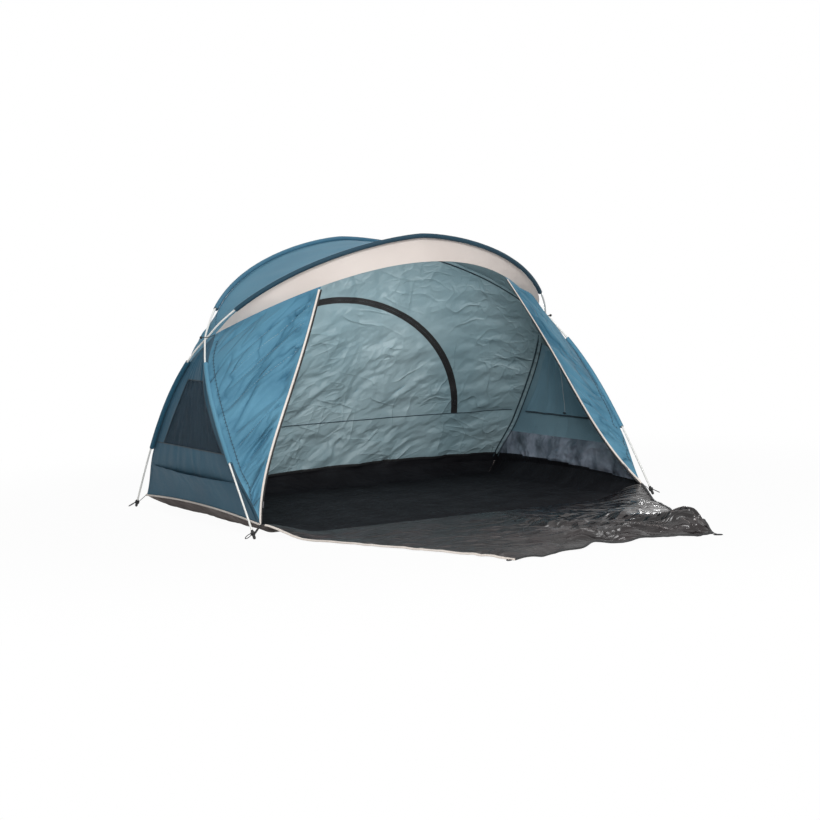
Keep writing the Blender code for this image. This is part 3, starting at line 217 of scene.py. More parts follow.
class Graph(Tree):
    """Shader of one material, or of the world."""

    def __init__(self, name: str, world: bool = False) -> None:
        """Start an empty material or world.

        Args:
            name: Its name.
            world: Whether it is a world.
        """
        self.owner = (bpy.data.worlds if world else bpy.data.materials).new(name)
        self.owner.use_nodes = True
        self.last = "ShaderNodeOutputWorld" if world else "ShaderNodeOutputMaterial"
        super().__init__(self.owner.node_tree)
        self.tree.nodes.clear()

    def place(self) -> Value:
        """Object coordinates."""
        return self.node("ShaderNodeTexCoord", output="Object")

    def split(self, place: Value) -> Value:
        """First of three coordinates."""
        return self.node("ShaderNodeSeparateXYZ", inputs={0: place})

    def weave(self, thread: float) -> Value:
        """Crossed waves of one length along the cloth's own two directions, in metres."""
        along = self.split(self.node("ShaderNodeTexCoord", output="UV"))
        return (along * (TURN / thread)).sine() * (along.other(1) * (TURN / thread)).sine()

    def mapped(self, place: Value, setting: str, value: Sequence[float]) -> Value:
        """Coordinates after a Rotation or a Scale."""
        return self.node("ShaderNodeMapping", inputs={"Vector": place, setting: value})

    def noise(self, place: Value, scale: float, detail: float = 2.0,
              stretch: Sequence[float] | None = None) -> Value:
        """Noise from 0 to 1.

        Args:
            place: Coordinates.
            scale: Grains per metre.
            detail: Octaves above the first.
            stretch: Scale along each axis, if it isn't even.

        Returns:
            The noise.
        """
        if stretch:
            place = self.mapped(place, "Scale", stretch)
        return self.node("ShaderNodeTexNoise", inputs={"Vector": place, "Scale": scale, "Detail": detail})

    def cells(self, place: Value, scale: float) -> Value:
        """Distance from the middles of random cells."""
        return self.node("ShaderNodeTexVoronoi", {"feature": "F1"}, {"Vector": place, "Scale": scale},
                         "Distance")

    def ramp(self, value: Value, *stops: tuple[float, float]) -> Value:
        """Level of a value on a ramp."""
        return self.node("ShaderNodeValToRGB", {"stops": stops}, {0: value})

    def clamped(self, first: float, second: Value) -> Value:
        """Difference, held between 0 and 1."""
        return self.node("ShaderNodeMath", {"operation": "SUBTRACT", "use_clamp": True},
                         {0: first, 1: second})

    def colour(self, first: Triple, second: Triple, share: Value) -> Value:
        """Blend of two screen colours."""
        return self.node("ShaderNodeMix", {"data_type": "RGBA"},
                         {0: share, 6: (*linear(first), 1.0), 7: (*linear(second), 1.0)}, output=2)

    def bump(self, height: Value) -> Value:
        """Normal from a height in metres."""
        return self.node("ShaderNodeBump", inputs={"Height": height, "Distance": 1.0, "Strength": 1.0})

    def seen(self, *rays: str) -> Value:
        """One for rays of some kinds, such as Is Camera Ray, and nought for others."""
        first, *others = (self.node("ShaderNodeLightPath", output=ray) for ray in rays)
        for ray in others:
            first = first.most(ray)
        return first

    def close(self, shader: Value) -> bpy.types.ID:
        """End the tree at a shader."""
        self.end(self.last, shader)
        return self.owner

    def shaded(self, inputs: dict) -> bpy.types.ID:
        """End the tree at a Principled shader with these inputs."""
        return self.close(self.node("ShaderNodeBsdfPrincipled", inputs=inputs))


# Finishes


@dataclass(frozen=True)
class ClothFinish:
    """Woven polyester: two tones of one colour, the weave and fine creases, and painted shade along crest
    lines where crest_painted_shade is set.
    """

    name: str
    light: Triple
    dark: Triple
    roughness: float = 0.62
    crease_scale: float = 16.0
    crease_depth: float = 0.0009
    thread: float = 0.0012
    thread_depth: float = 0.00006
    sheen: float = 0.06
    specular: float = 0.24
    crumple: float = 0.0
    crumple_scale: float = 15.0
    crumple_turn: float = 0.64
    crumple_stretch: Triple = (0.55, 1.0, 1.5)
    crests: tuple[Triple, ...] = ()
    crest_stretch: Triple = (0.2, 1.0, 1.0)
    # Painted shade: how far the base colour darkens along the crest lines.
    crest_painted_shade: float = 0.0
    mirrored: bool = False

    def material(self) -> bpy.types.Material:
        """Build the material."""
        graph = Graph(self.name)
        place = graph.place()
        tone_and_painted_shade = graph.ramp(graph.noise(place, 2.2, 3.0), (0.36, 0.0), (0.66, 1.0))
        creases = abs(graph.noise(place, self.crease_scale, 3.0) - 0.5) * (2 * self.crease_depth)
        fine = abs(graph.noise(place, self.crease_scale * 3.1, 2.0) - 0.5) * self.crease_depth
        height = graph.weave(self.thread) * self.thread_depth + creases + fine * 0.6
        if self.crumple:
            height = height + self.crumples(graph, place)
        for turn, scale, rise in self.crests:
            crest = self.crest_lines(graph, place, turn, scale)
            height = height + crest * rise
            # Painted shade: the base colour turns darker along the crest lines, which on the corner panels
            # are fold valleys.
            tone_and_painted_shade = tone_and_painted_shade - crest * self.crest_painted_shade
        return graph.shaded({
            "Base Color": graph.colour(self.dark, self.light, tone_and_painted_shade),
            "Roughness": graph.noise(place, 9.0, 2.0) * 0.12 + (self.roughness - 0.06),
            "Specular IOR Level": self.specular,
            "Sheen Weight": self.sheen,
            "Sheen Roughness": 0.5,
            "Normal": graph.bump(height),
        })

    def crumples(self, graph: Graph, place: Value) -> Value:
        """Height of sharp slanted creases that come in patches.

        Args:
            graph: The material's graph.
            place: Object coordinates.

        Returns:
            The height.
        """
        turned = graph.mapped(place, "Rotation", (0.0, self.crumple_turn, 0.0))
        drawn = graph.mapped(turned, "Scale", self.crumple_stretch)
        both = graph.cells(drawn, self.crumple_scale) + graph.cells(drawn, self.crumple_scale * 2.4) * 0.4
        patch = graph.ramp(graph.noise(place, 4.0, 2.0), (0.38, 0.1), (0.62, 1.0))
        return both * patch * self.crumple

    def crest_lines(self, graph: Graph, place: Value, turn: float, scale: float) -> Value:
        """Long thin crests that all run one way and come in patches.

        Args:
            graph: The material's graph.
            place: Object coordinates.
            turn: Slope of the crests in the front view, in radians.
            scale: Grains per metre across them.

        Returns:
            The height, from 0 to 1.
        """
        if self.mirrored:
            x = graph.split(place)
            place = graph.node("ShaderNodeCombineXYZ", inputs={
                0: abs(x) * -1.0, 1: x.other(1), 2: x.other(2)})
        turned = graph.mapped(place, "Rotation", (0.0, turn, 0.0))
        near = abs(graph.noise(turned, scale, 1.0, self.crest_stretch) - 0.5)
        patch = graph.ramp(graph.noise(turned, 3.4, 2.0), (0.42, 0.05), (0.6, 1.0))
        return graph.ramp(near, (0.0, 1.0), (0.025, 0.4), (0.07, 0.0)) * patch


@dataclass(frozen=True)
class SheetFinish:
    """Glossy woven plastic sheet that is crumpled all over."""

    name: str
    light: Triple
    dark: Triple
    roughness: float = 0.3
    crease_scale: float = 14.0
    crease_depth: float = 0.003
    stretch: Triple = (1.0, 1.0, 1.0)
    turn: float = 0.0
    specular: float = 0.5
    dull_left: float = 0.0

    def material(self) -> bpy.types.Material:
        """Build the material."""
        graph = Graph(self.name)
        place = graph.place()
        grain = graph.noise(place, 5.0).other(1)
        shift = graph.node("ShaderNodeVectorMath", {"operation": "SCALE"}, {0: grain, "Scale": 0.12})
        warped = graph.node("ShaderNodeVectorMath", {"operation": "ADD"}, {0: place, 1: shift})
        drawn = graph.mapped(graph.mapped(warped, "Rotation", (0.0, 0.0, self.turn)), "Scale", self.stretch)
        height = (graph.cells(drawn, self.crease_scale) * self.crease_depth
                  + graph.cells(drawn, self.crease_scale * 2.5) * (0.36 * self.crease_depth))
        worn = graph.ramp(graph.noise(place, 7.0, 4.0), (0.42, 0.0), (0.7, 1.0))
        rough = graph.noise(place, 11.0, 3.0) * 0.16 + (self.roughness - 0.08)
        if self.dull_left:
            rough = rough + graph.clamped(0.55, graph.split(place) * 1.8) * self.dull_left
        return graph.shaded({
            "Base Color": graph.colour(self.dark, self.light, worn),
            "Roughness": rough,
            "Specular IOR Level": self.specular,
            "Normal": graph.bump(height),
        })


@dataclass(frozen=True)
class SolidFinish:
    """Rod, webbing, moulded or metal part with a fine grain."""

    name: str
    light: Triple
    dark: Triple
    roughness: float = 0.4
    metallic: float = 0.0
    grain: float = 400.0
    grain_depth: float = 0.00003
    coat: float = 0.0

    def material(self) -> bpy.types.Material:
        """Build the material."""
        graph = Graph(self.name)
        place = graph.place()
        grain = graph.noise(place, self.grain, 2.0)
        return graph.shaded({
            "Base Color": graph.colour(self.dark, self.light, graph.noise(place, 30.0, 3.0)),
            "Roughness": grain * 0.14 + (self.roughness - 0.07),
            "Metallic": self.metallic,
            "Coat Weight": self.coat,
            "Normal": graph.bump(grain * self.grain_depth),
        })


@dataclass(frozen=True)
class NetFinish:
    """Fine netting that lets what lies behind it show."""

    name: str
    colour: Triple
    thread: float = 0.0016
    cover: float = 0.62

    def material(self) -> bpy.types.Material:
        """Build the material."""
        graph = Graph(self.name)
        alpha = graph.clamped(self.cover + 0.35, abs(graph.weave(2 * self.thread)) * 0.7)
        return graph.shaded({"Base Color": (*linear(self.colour), 1.0), "Roughness": 0.8, "Alpha": alpha})


class Finish(Enum):
    """Every finish of the tent."""

    SHELL = ClothFinish("shell_cloth", (94, 146, 170), (77, 130, 155))
    # Corner panels: painted shade darkens the base colour in their fold valleys.
    PANEL = ClothFinish("corner_panel_cloth", (96, 149, 174), (68, 118, 143), mirrored=True,
                        crests=((0.98, 9.0, -0.007), (0.72, 15.0, -0.004)), crest_painted_shade=0.8)
    # Painted shade: a darker copy of the shell cloth, for the shade on the side walls, sand pockets and rear
    # leg sleeves.
    SHELL_PAINTED_SHADE = ClothFinish("side_wall_cloth_painted_shade", (36, 89, 112), (29, 76, 98))
    # Painted shade: a darker copy of the shell cloth on the rear roof sleeve, to dim how brightly the lamps
    # light its tube.
    ARCH_PAINTED_SHADE = ClothFinish("rear_sleeve_cloth_painted_shade", (76, 122, 146), (64, 108, 132))
    INNER = ClothFinish("side_wall_inside", (120, 150, 163), (102, 131, 145), roughness=0.45,
                        crease_depth=0.0014, sheen=0.0, specular=0.4)
    LINING = ClothFinish("coated_inside", (150, 172, 178), (126, 152, 160), roughness=0.42,
                         crease_scale=13.0, crease_depth=0.0008, sheen=0.0, specular=0.45, crumple=0.005,
                         crests=((0.64, 9.0, 0.0048), (-0.25, 12.0, 0.0036), (1.3, 8.0, 0.0042),
                                 (0.3, 19.0, 0.0022)))
    SLEEVE = ClothFinish("dark_sleeve_cloth", (36, 68, 84), (30, 60, 76))
    VISOR = ClothFinish("visor_cloth", (220, 211, 205), (210, 200, 194), roughness=0.7,
                        crease_depth=0.0008)
    COVER = ClothFinish("window_cover_cloth", (110, 144, 160), (84, 118, 134), roughness=0.5)
    PIPING = ClothFinish("cream_piping", (240, 232, 224), (226, 216, 207), thread_depth=0.0001)
    SEAM = ClothFinish("dark_seam_tape", (52, 68, 76), (38, 52, 60))
    FLOOR = SheetFinish("groundsheet_plastic", (30, 31, 34), (20, 20, 23), roughness=0.7,
                        specular=0.1, crease_depth=0.005, stretch=(0.6, 1.6, 1.0))
    UNDERSIDE = SheetFinish("groundsheet_underside", (150, 142, 138), (112, 104, 102),
                            roughness=0.8, specular=0.08)
    SKIRT = SheetFinish("wall_foot_plastic", (150, 158, 172), (90, 98, 110), roughness=0.24,
                        crease_depth=0.022, crease_scale=9.0, stretch=(1.0, 0.9, 1.0))
    APRON = SheetFinish("porch_plastic", (37, 28, 29), (18, 13, 14), roughness=0.14,
                        dull_left=0.3, crease_depth=0.016, stretch=(0.32, 1.5, 1.0), turn=0.48)
    NET = NetFinish("window_netting", (26, 54, 72), cover=0.46)
    THREAD = SolidFinish("sewing_thread", (58, 92, 110), (44, 74, 90), roughness=0.7,
                         grain=1500.0)
    # Painted shade: dark marks, darker than the cloth, for the shade in the puckers along the sleeve seams.
    PUCKER_PAINTED_SHADE = SolidFinish("painted_shade_pucker", (40, 78, 98), (32, 66, 86), roughness=0.8)
    TAPE = SolidFinish("light_tie_tape", (168, 182, 188), (140, 156, 164), roughness=0.6)
    ROD = SolidFinish("fibreglass_rod", (238, 238, 234), (226, 226, 222), roughness=0.35, coat=0.3)
    TRIM = SolidFinish("black_webbing", (30, 30, 32), (18, 18, 20), roughness=0.7, grain=900.0,
                       grain_depth=0.0001)
    ZIP = SolidFinish("zip_tape", (26, 26, 28), (15, 15, 17), roughness=0.6, grain=700.0)
    METAL = SolidFinish("zip_metal", (120, 120, 124), (88, 88, 92), roughness=0.32, metallic=0.9)


MATERIALS: dict[Finish, bpy.types.Material] = {}


def material_of(finish: Finish) -> bpy.types.Material:
    """Material of a finish, built once."""
    if finish not in MATERIALS:
        MATERIALS[finish] = finish.value.material()
    return MATERIALS[finish]


# Folds


class FoldNoise:
    """Smooth and creased noise on a plane, the same on each run."""

    def __init__(self, seed: int) -> None:
        """Draw the tables.

        Args:
            seed: Number that fixes the pattern.
        """
        random = np.random.default_rng(seed)
        self.order = random.permutation(256)
        self.angles = random.uniform(0, TURN, 256)

    def angle(self, column: Array, row: Array) -> Array:
        """Random angle of a corner of the net."""
        return self.angles[self.order[(self.order[column & 255] + row) & 255]]

    def smooth(self, x: Array, y: Array) -> Array:
        """Gradient noise of about -1 to 1 at places in units of one grain."""
        x, y = pair(x, y)
        column = np.floor(x).astype(int)
        row = np.floor(y).astype(int)
        dx = x - column
        dy = y - row

        def corner(i: int, j: int) -> Array:
            """Slope of one corner at the place."""
            angle = self.angle(column + i, row + j)
            return np.cos(angle) * (dx - i) + np.sin(angle) * (dy - j)
        u = dx ** 3 * (dx * (dx * 6 - 15) + 10)
        v = dy ** 3 * (dy * (dy * 6 - 15) + 10)
        low = corner(0, 0) * (1 - u) + corner(1, 0) * u
        high = corner(0, 1) * (1 - u) + corner(1, 1) * u
        return (low * (1 - v) + high * v) * 1.5

    def facet(self, x: Array, y: Array) -> Array:
        """Flat faces between random heights on a net of triangles."""
        skew = (x + y) * 0.366
        x, y = x + skew, y + skew
        column = np.floor(x).astype(int)
        row = np.floor(y).astype(int)
        dx = x - column
        dy = y - row
        under = (dx > dy).astype(int)
        here = np.sin(self.angle(column, row))
        beside = np.sin(self.angle(column + under, row + 1 - under))
        beyond = np.sin(self.angle(column + 1, row + 1))
        return (1 - np.maximum(dx, dy)) * here + np.abs(dx - dy) * beside + np.minimum(dx, dy) * beyond

    def facets(self, x: Array, y: Array, octaves: int = 2, warp: float = 0.45) -> Array:
        """Crumpled cloth: facets of two or more sizes between straight creases, about -1 to 1."""
        a = x + warp * self.smooth(x * 0.8 + 4.1, y * 0.8 - 2.3)
        b = y + warp * self.smooth(x * 0.8 - 7.7, y * 0.8 + 5.9)
        total = np.zeros(np.broadcast(a, b).shape)
        strength = 1.0
        for k in range(octaves):
            total = total + strength * self.facet(a + 11.3 * k, b - 7.9 * k)
            a, b = 2.1 * (0.8 * a + 0.6 * b), 2.1 * (0.8 * b - 0.6 * a)
            strength *= 0.45
        return total


# Frame and seam lines


@dataclass(frozen=True)
class TentForm:
    """Sizes of the sprung frame and the lines that the cloth is sewn to."""

    foot_span: float = 2.0
    foot_depth: float = 1.4
    crown_height: float = 1.235
    crown_reach: float = 0.416
    cross_height: float = 0.82
    foot_rise: float = 0.009
    span_power: float = 1.29
    rise_power: float = 0.465
    samples: int = 1500
    sample_bias: float = 2.2
    frame_step: float = 0.01
    pole_radius: float = 0.00425
    ferrule_radius: float = 0.0055
    cross_shift: float = 0.0044
    cross_bow: float = 0.1
    bore_long: float = 0.0096
    bore_short: float = 0.0092
    sleeve_wall: float = 0.0012
    sleeve_gap: float = 0.0006
    seam_gap: float = 0.0009
    sleeve_bottom: float = 0.3
    sleeve_top: float = 0.71
    roof_sleeve_end: float = 0.94
    apex_inset: float = 0.045
    apex_rise: float = 0.012
    floor_width: float = 1.91
    floor_depth: float = 1.344
    corner_height: float = 0.055
    side_lift: float = 0.022
    back_lift: float = 0.025
    front_corner_share: float = 0.72
    tray_rise: float = 0.042
    sheet: float = 0.001
    seam_height: float = 0.33
    window_top: float = 0.634
    pocket_top: float = 0.205

    @cached_property
    def table(self) -> Line:
        """Points of half a pole from its foot at +X, +Y to the crown, and the distance to each."""
        angle = math.pi / 2 * np.linspace(0, 1, self.samples + 1) ** self.sample_bias
        x = self.foot_span / 2 * np.maximum(np.cos(angle), 0.0) ** self.span_power
        rise = (self.crown_height - self.foot_rise) * np.sin(angle) ** self.rise_power
        cross = self.cross_height - self.foot_rise
        crown = self.crown_height - self.foot_rise
        half = self.foot_depth / 2
        bow = (self.crown_reach * cross / (half * (crown - cross)) - 1) / crown
        y = half * (1 - rise / cross) * (1 + bow * rise)
        points = np.stack([x, y, self.foot_rise + rise], axis=-1)
        steps = np.linalg.norm(np.diff(points, axis=0), axis=1)
        return points, np.concatenate([[0.0], np.cumsum(steps)])

    @cached_property
    def half_length(self) -> float:
        """Length of half a pole."""
        return float(self.table[1][-1])

    def at(self, distance: Array) -> Array:
        """Points of the half pole at distances from its foot, mirrored past the crown."""
        points, run = self.table
        distance = np.asarray(distance, float)
        past = distance > self.half_length
        folded = np.clip(np.where(past, 2 * self.half_length - distance, distance), 0, self.half_length)
        found = np.stack([np.interp(folded, run, points[:, k]) for k in range(3)], axis=-1)
        found[..., 0] = np.where(past, -found[..., 0], found[..., 0])
        return found

    def frames(self, distance: Array) -> tuple[Array, Array, Array]:
        """Directions along, outward and across at distances on the half pole."""
        distance = np.asarray(distance)
        along = unit(self.at(distance + self.frame_step) - self.at(distance - self.frame_step))
        rise = unit(np.array([0, -self.foot_depth / 2 - self.crown_reach, self.crown_height]))
        plane = np.cross(np.array([1.0, 0, 0]), rise)
        outward = unit(np.cross(along, plane))
        return along, outward, unit(np.cross(outward, along))

    def distance_at(self, height: float) -> float:
        """Distance along the half pole at which it reaches a height."""
        points, run = self.table
        return float(np.interp(height, points[:, 2], run))

    @cached_property
    def cross(self) -> float:
        """Distance from a foot to the crossing."""
        return self.distance_at(self.cross_height)

    @cached_property
    def leg_sleeve(self) -> tuple[float, float]:
        """Distances at which a leg sleeve starts and ends."""
        return self.distance_at(self.sleeve_bottom), self.distance_at(self.sleeve_top)

    @cached_property
    def roof_start(self) -> float:
        """Distance at which a roof sleeve starts."""
        return self.distance_at(self.roof_sleeve_end)

    @cached_property
    def window(self) -> tuple[float, float]:
        """Distances of the window's lower and upper edges."""
        return self.distance_at(self.seam_height), self.distance_at(self.window_top)

    @cached_property
    def window_span(self) -> tuple[float, float]:
        """The same as shares of the way up to the crossing."""
        low, high = self.window
        return low / self.cross, high / self.cross

    @cached_property
    def pocket(self) -> float:
        """Distance of the sand pocket's mouth."""
        return self.distance_at(self.pocket_top)

    @cached_property
    def sleeve_offset(self) -> float:
        """Distance from a pole to the middle of its sleeve."""
        return self.bore_long - self.ferrule_radius - self.sleeve_gap

    @cached_property
    def corner(self) -> Array:
        """Rear right corner of the floor."""
        return np.array([self.floor_width / 2, self.floor_depth / 2, self.corner_height])

    def seam(self, distance: Array) -> Array:
        """Seam of the rear right leg below the crossing, and of the front right arch above it."""
        distance = np.asarray(distance, float)
        centre = self.at(distance)
        outward = self.frames(distance)[1]
        depth = self.sleeve_offset + self.bore_long + self.sleeve_wall + self.seam_gap
        low, high = self.leg_sleeve
        to_corner = (1 - ease(distance / low))[..., None]
        to_apex = (ease((distance - high) / (self.cross - high))
                   * (1 - ease((distance - self.cross) / (self.roof_start - self.cross))))[..., None]
        corner = self.corner - self.at(0.0)
        apex = np.array([-self.apex_inset, 0, self.apex_rise])
        sleeve = -outward * depth
        return centre + corner * to_corner + apex * to_apex + sleeve * (1 - to_corner - to_apex)

    @cached_property
    def apex(self) -> Array:
        """Top of the rear right seam, at the crossing."""
        return self.seam(np.array(self.cross))

    def arch_row(self, u: Array) -> tuple[Array, Array, Array]:
        """Seam of the front arch at shares from left to right.

        Args:
            u: The shares.

        Returns:
            Its points on the right, how far each is towards the apex, and the turn to its own side.
        """
        reach = self.half_length - self.cross
        signed = (2 * u - 1) * reach
        side = np.where(signed >= 0, 1.0, -1.0)
        turn = np.stack([side, np.ones_like(side), np.ones_like(side)], axis=-1)
        return self.seam(self.half_length - np.abs(signed)), np.abs(signed) / reach, turn

    def tray_edge(self, side: float, along: Array) -> Array:
        """Height that the groundsheet's plastic reaches up a wall, more in the back right corner.

        Args:
            side: The wall: left, right, or nought for the rear one.
            along: Place along the wall, from -0.5 to 0.5 towards the rear or the right.

        Returns:
            The heights.
        """
        lift = self.side_lift if side else self.back_lift
        rise = self.tray_rise * (0.5 + along) if side >= 0 else 0.0
        return self.corner_height + lift * (1 - 4 * along ** 2) + rise

    def pole(self, signed: Array, end: int) -> tuple[Array, Array, Array]:
        """Centre, outward and across directions of a whole pole.

        Args:
            signed: Distances from the crown, negative on the left.
            end: End of the tent where its feet stand.

        Returns:
            Three arrays of points.
        """
        signed = np.asarray(signed, float)
        distance = self.half_length - np.abs(signed)
        side = np.where(signed >= 0, 1.0, -1.0)
        outward, across = self.frames(distance)[1:]
        normal = self.frames(np.array(self.cross))[0]
        normal = unit(np.array([normal[2], 0, -normal[0]]))
        share = np.abs(distance - self.cross) / self.cross_bow
        centre = self.at(distance) - normal * (end * self.cross_shift * (1 - ease(share)))[..., None]
        turn = np.stack([side, np.full_like(side, end), np.ones_like(side)], axis=-1)
        return centre * turn, outward * turn, across * turn

    def visor_edge(self, share: Array, drop: float = 0.118, forward: float = 0.068) -> Array:
        """Lower edge of the visor at shares of the way from the middle to the right apex."""
        share = np.asarray(share, float)
        middle = np.array([0, -self.crown_reach - forward, self.crown_height - drop])
        edge = mixed(middle, self.apex, share * share)
        edge[..., 0] = self.apex[0] * share
        return edge


FORM = TentForm()


# Meshes


def add_mesh(name: str, points: Array, faces: Faces, finishes: Sequence[Finish],
             slots: Sequence[int] | None = None, flat: Array | None = None,
             sharp: float = 50.0) -> Piece:
    """Make one mesh object.

    Args:
        name: Name of the object.
        points: Its vertices.
        faces: Its faces.
        finishes: Its materials in the order of its slots.
        slots: Slot of each face.
        flat: Flat place of each vertex, in metres, for the weave.
        sharp: Angle in degrees above which an edge stays sharp.

    Returns:
        The object.
    """
    mesh = bpy.data.meshes.new(name)
    mesh.from_pydata([tuple(p) for p in np.asarray(points, float)], [], [tuple(f) for f in faces])
    for finish in finishes:
        mesh.materials.append(material_of(finish))
    if slots is not None:
        mesh.polygons.foreach_set("material_index", np.asarray(slots, dtype=np.int32))
    if flat is not None:
        layer = mesh.uv_layers.new(name="cloth")
        corners = np.zeros(len(mesh.loops), dtype=np.int32)
        mesh.loops.foreach_get("vertex_index", corners)
        layer.data.foreach_set("uv", np.asarray(flat, dtype=np.float32)[corners].ravel())
    mesh.update()
    mesh.shade_smooth()
    mesh.set_sharp_from_angle(angle=math.radians(sharp))
    return linked(name, mesh)


def rim_edges(faces: Faces) -> list[tuple[int, int]]:
    """Edges that only one face uses, in that face's direction."""
    seen: dict[tuple[int, int], tuple[int, int] | None] = {}
    for face in faces:
        for a, b in zip(face, tuple(face[1:]) + (face[0],)):
            key = (a, b) if a < b else (b, a)
            seen[key] = None if key in seen else (a, b)
    return [edge for edge in seen.values() if edge]


def add_shell(name: str, points: Array, faces: Faces, normals: Array,
              thickness: float, finishes: Sequence[Finish], outside: Sequence[int] | int = 0,
              inside: Sequence[int] | int = 1, flat: Array | None = None) -> Piece:
    """Give a sheet of faces a thickness and a closed rim.

    Args:
        name: Name of the object.
        points: Vertices of the middle of the sheet.
        faces: Faces whose fronts look out of the tent.
        normals: Outward normals of the vertices.
        thickness: Thickness of the sheet.
        finishes: Materials.
        outside: Slot of the outer side, or of each outer face.
        inside: Slot of the inner side, or of each inner face.
        flat: Flat place of each vertex.

    Returns:
        The object.
    """
    points = points.reshape(-1, 3)
    used = np.zeros(len(points), bool)
    for face in faces:
        used[list(face)] = True
    index = np.cumsum(used) - 1
    faces = [tuple(int(index[v]) for v in face) for face in faces]
    points = points[used]
    normals = normals.reshape(-1, 3)[used]
    count = len(points)
    both = np.concatenate([points + normals * thickness / 2, points - normals * thickness / 2])
    backs = [tuple(v + count for v in reversed(face)) for face in faces]
    rims = [(b, a, a + count, b + count) for a, b in rim_edges(faces)]
    outer = [outside] * len(faces) if isinstance(outside, int) else list(outside)
    inner = [inside] * len(faces) if isinstance(inside, int) else list(inside)
    slots = outer + inner + [outer[0]] * len(rims)
    if flat is not None:
        flat = np.tile(flat.reshape(-1, 2)[used], (2, 1))
    return add_mesh(name, both, list(faces) + backs + rims, finishes, slots, flat)


def grid_faces(rows: int, columns: int, flipped: bool) -> list[tuple[int, int, int, int]]:
    """Faces of a grid of points, row by row."""
    faces = []
    for i in range(rows - 1):
        for j in range(columns - 1):
            a = i * columns + j
            face = (a, a + 1, a + columns + 1, a + columns)
            faces.append(face[::-1] if flipped else face)
    return faces


def grid_normals(points: Array, flipped: bool) -> Array:
    """Outward normals of a grid of points."""
    along = np.gradient(points, axis=1)
    up = np.gradient(points, axis=0)
    normals = unit(np.cross(along, up))
    return -normals if flipped else normals


def add_tube(name: str, rings: Array, finish: Finish, looped: bool = False) -> Piece:
    """Skin rings of equal count, capped at both ends or closed on itself.

    Args:
        name: Name of the object.
        rings: Points, ring by ring.
        finish: Material.
        looped: Whether the last ring joins the first.

    Returns:
        The object.
    """
    count, sides = rings.shape[:2]
    faces = []
    for i in range(count if looped else count - 1):
        n = (i + 1) % count
        for k in range(sides):
            m = (k + 1) % sides
            faces.append((i * sides + k, i * sides + m, n * sides + m, n * sides + k))
    if not looped:
        faces.append(tuple(range(sides))[::-1])
        faces.append(tuple((count - 1) * sides + k for k in range(sides)))
    points = rings.reshape(-1, 3)
    middle = rings.mean(axis=1)
    first = faces[0]
    normal = np.cross(points[first[1]] - points[first[0]], points[first[3]] - points[first[0]])
    if np.dot(normal, points[first[0]] - middle[0]) < 0:
        faces = [face[::-1] for face in faces]
    run = np.concatenate([[0.0], np.cumsum(np.linalg.norm(np.diff(middle, axis=0), axis=1))])
    around = np.linspace(0, 1, sides) * np.linalg.norm(rings[0][0] - middle[0]) * TURN
    flat = np.stack([np.repeat(run, sides), np.tile(around, count)], axis=-1)
    return add_mesh(name, points, faces, [finish], None, flat, sharp=40.0)


def rings_along(path: Array, sides: int, wide: Array | float, thick: Array | float,
                face: Array | None = None) -> Array:
    """Elliptic rings along a path.

    Args:
        path: Points of the path.
        sides: Points in a ring.
        wide: Half width, square to the face direction.
        thick: Half thickness, along the face direction.
        face: Direction that the flat side looks, at each point. Up when it isn't given.

    Returns:
        The rings.
    """
    along = unit(np.gradient(path, axis=0))
    look = np.tile(np.array([0.0, 0, 1]), (len(path), 1)) if face is None else face
    across = unit(np.cross(along, look))
    look = unit(np.cross(across, along))
    angle = np.arange(sides) * TURN / sides
    wide = np.broadcast_to(wide, (len(path),))[:, None, None]
    thick = np.broadcast_to(thick, (len(path),))[:, None, None]
    return (path[:, None, :] + across[:, None, :] * np.cos(angle)[None, :, None] * wide
            + look[:, None, :] * np.sin(angle)[None, :, None] * thick)


def cut_of(points: Array) -> Triple:
    """Width, length and area of the cloth that a grid of points needs."""
    width = np.linalg.norm(np.diff(points, axis=1), axis=-1).sum(axis=1).max()
    length = np.linalg.norm(np.diff(points, axis=0), axis=-1).sum(axis=0).max()
    along = points[:-1, 1:] - points[:-1, :-1]
    up = points[1:, :-1] - points[:-1, :-1]
    area = np.linalg.norm(np.cross(along, up), axis=-1).sum()
    return float(width), float(length), float(area)


class Surface:
    """A panel as a function of two shares, with its folds."""

    thickness = 0.0008
    inside_point = (0.0, 0.0, 0.35)

    def at(self, u: Array, v: Array) -> Array:
        """Points of the smooth panel."""
        raise NotImplementedError

    @cached_property
    def flipped(self) -> bool:
        """Whether the two shares turn into the tent."""
        middle = np.array(0.5)
        step = 0.01
        here = self.at(middle, middle)
        along = self.at(middle + step, middle) - here
        up = self.at(middle, middle + step) - here
        return bool(np.dot(np.cross(along, up), here - np.array(self.inside_point)) < 0)

    def folds(self, u: Array, v: Array) -> Array:
        """Heights of the folds, positive out of the tent."""
        return np.zeros(np.broadcast(u, v).shape)

    def normal(self, u: Array, v: Array, step: float = 0.002) -> Array:
        """Outward normals of the smooth panel."""
        along = self.at(np.minimum(u + step, 1), v) - self.at(np.maximum(u - step, 0), v)
        up = self.at(u, np.minimum(v + step, 1)) - self.at(u, np.maximum(v - step, 0))
        normals = unit(np.cross(along, up))
        return -normals if self.flipped else normals

    def draped(self, u: Array, v: Array, off: float = 0.0) -> Array:
        """Points of the folded panel, moved out by a distance."""
        u, v = pair(u, v)
        return self.at(u, v) + self.normal(u, v) * (self.folds(u, v) + off)[..., None]

    @staticmethod
    def shares(columns: int, rows: int) -> Line:
        """Both shares on an even grid."""
        return tuple(np.meshgrid(np.linspace(0, 1, columns + 1), np.linspace(0, 1, rows + 1)))

    def flat_size(self, steps: int = 60) -> Triple:
        """Width, length and area of the cut, from the smooth panel."""
        return cut_of(self.at(*self.shares(steps, steps)))


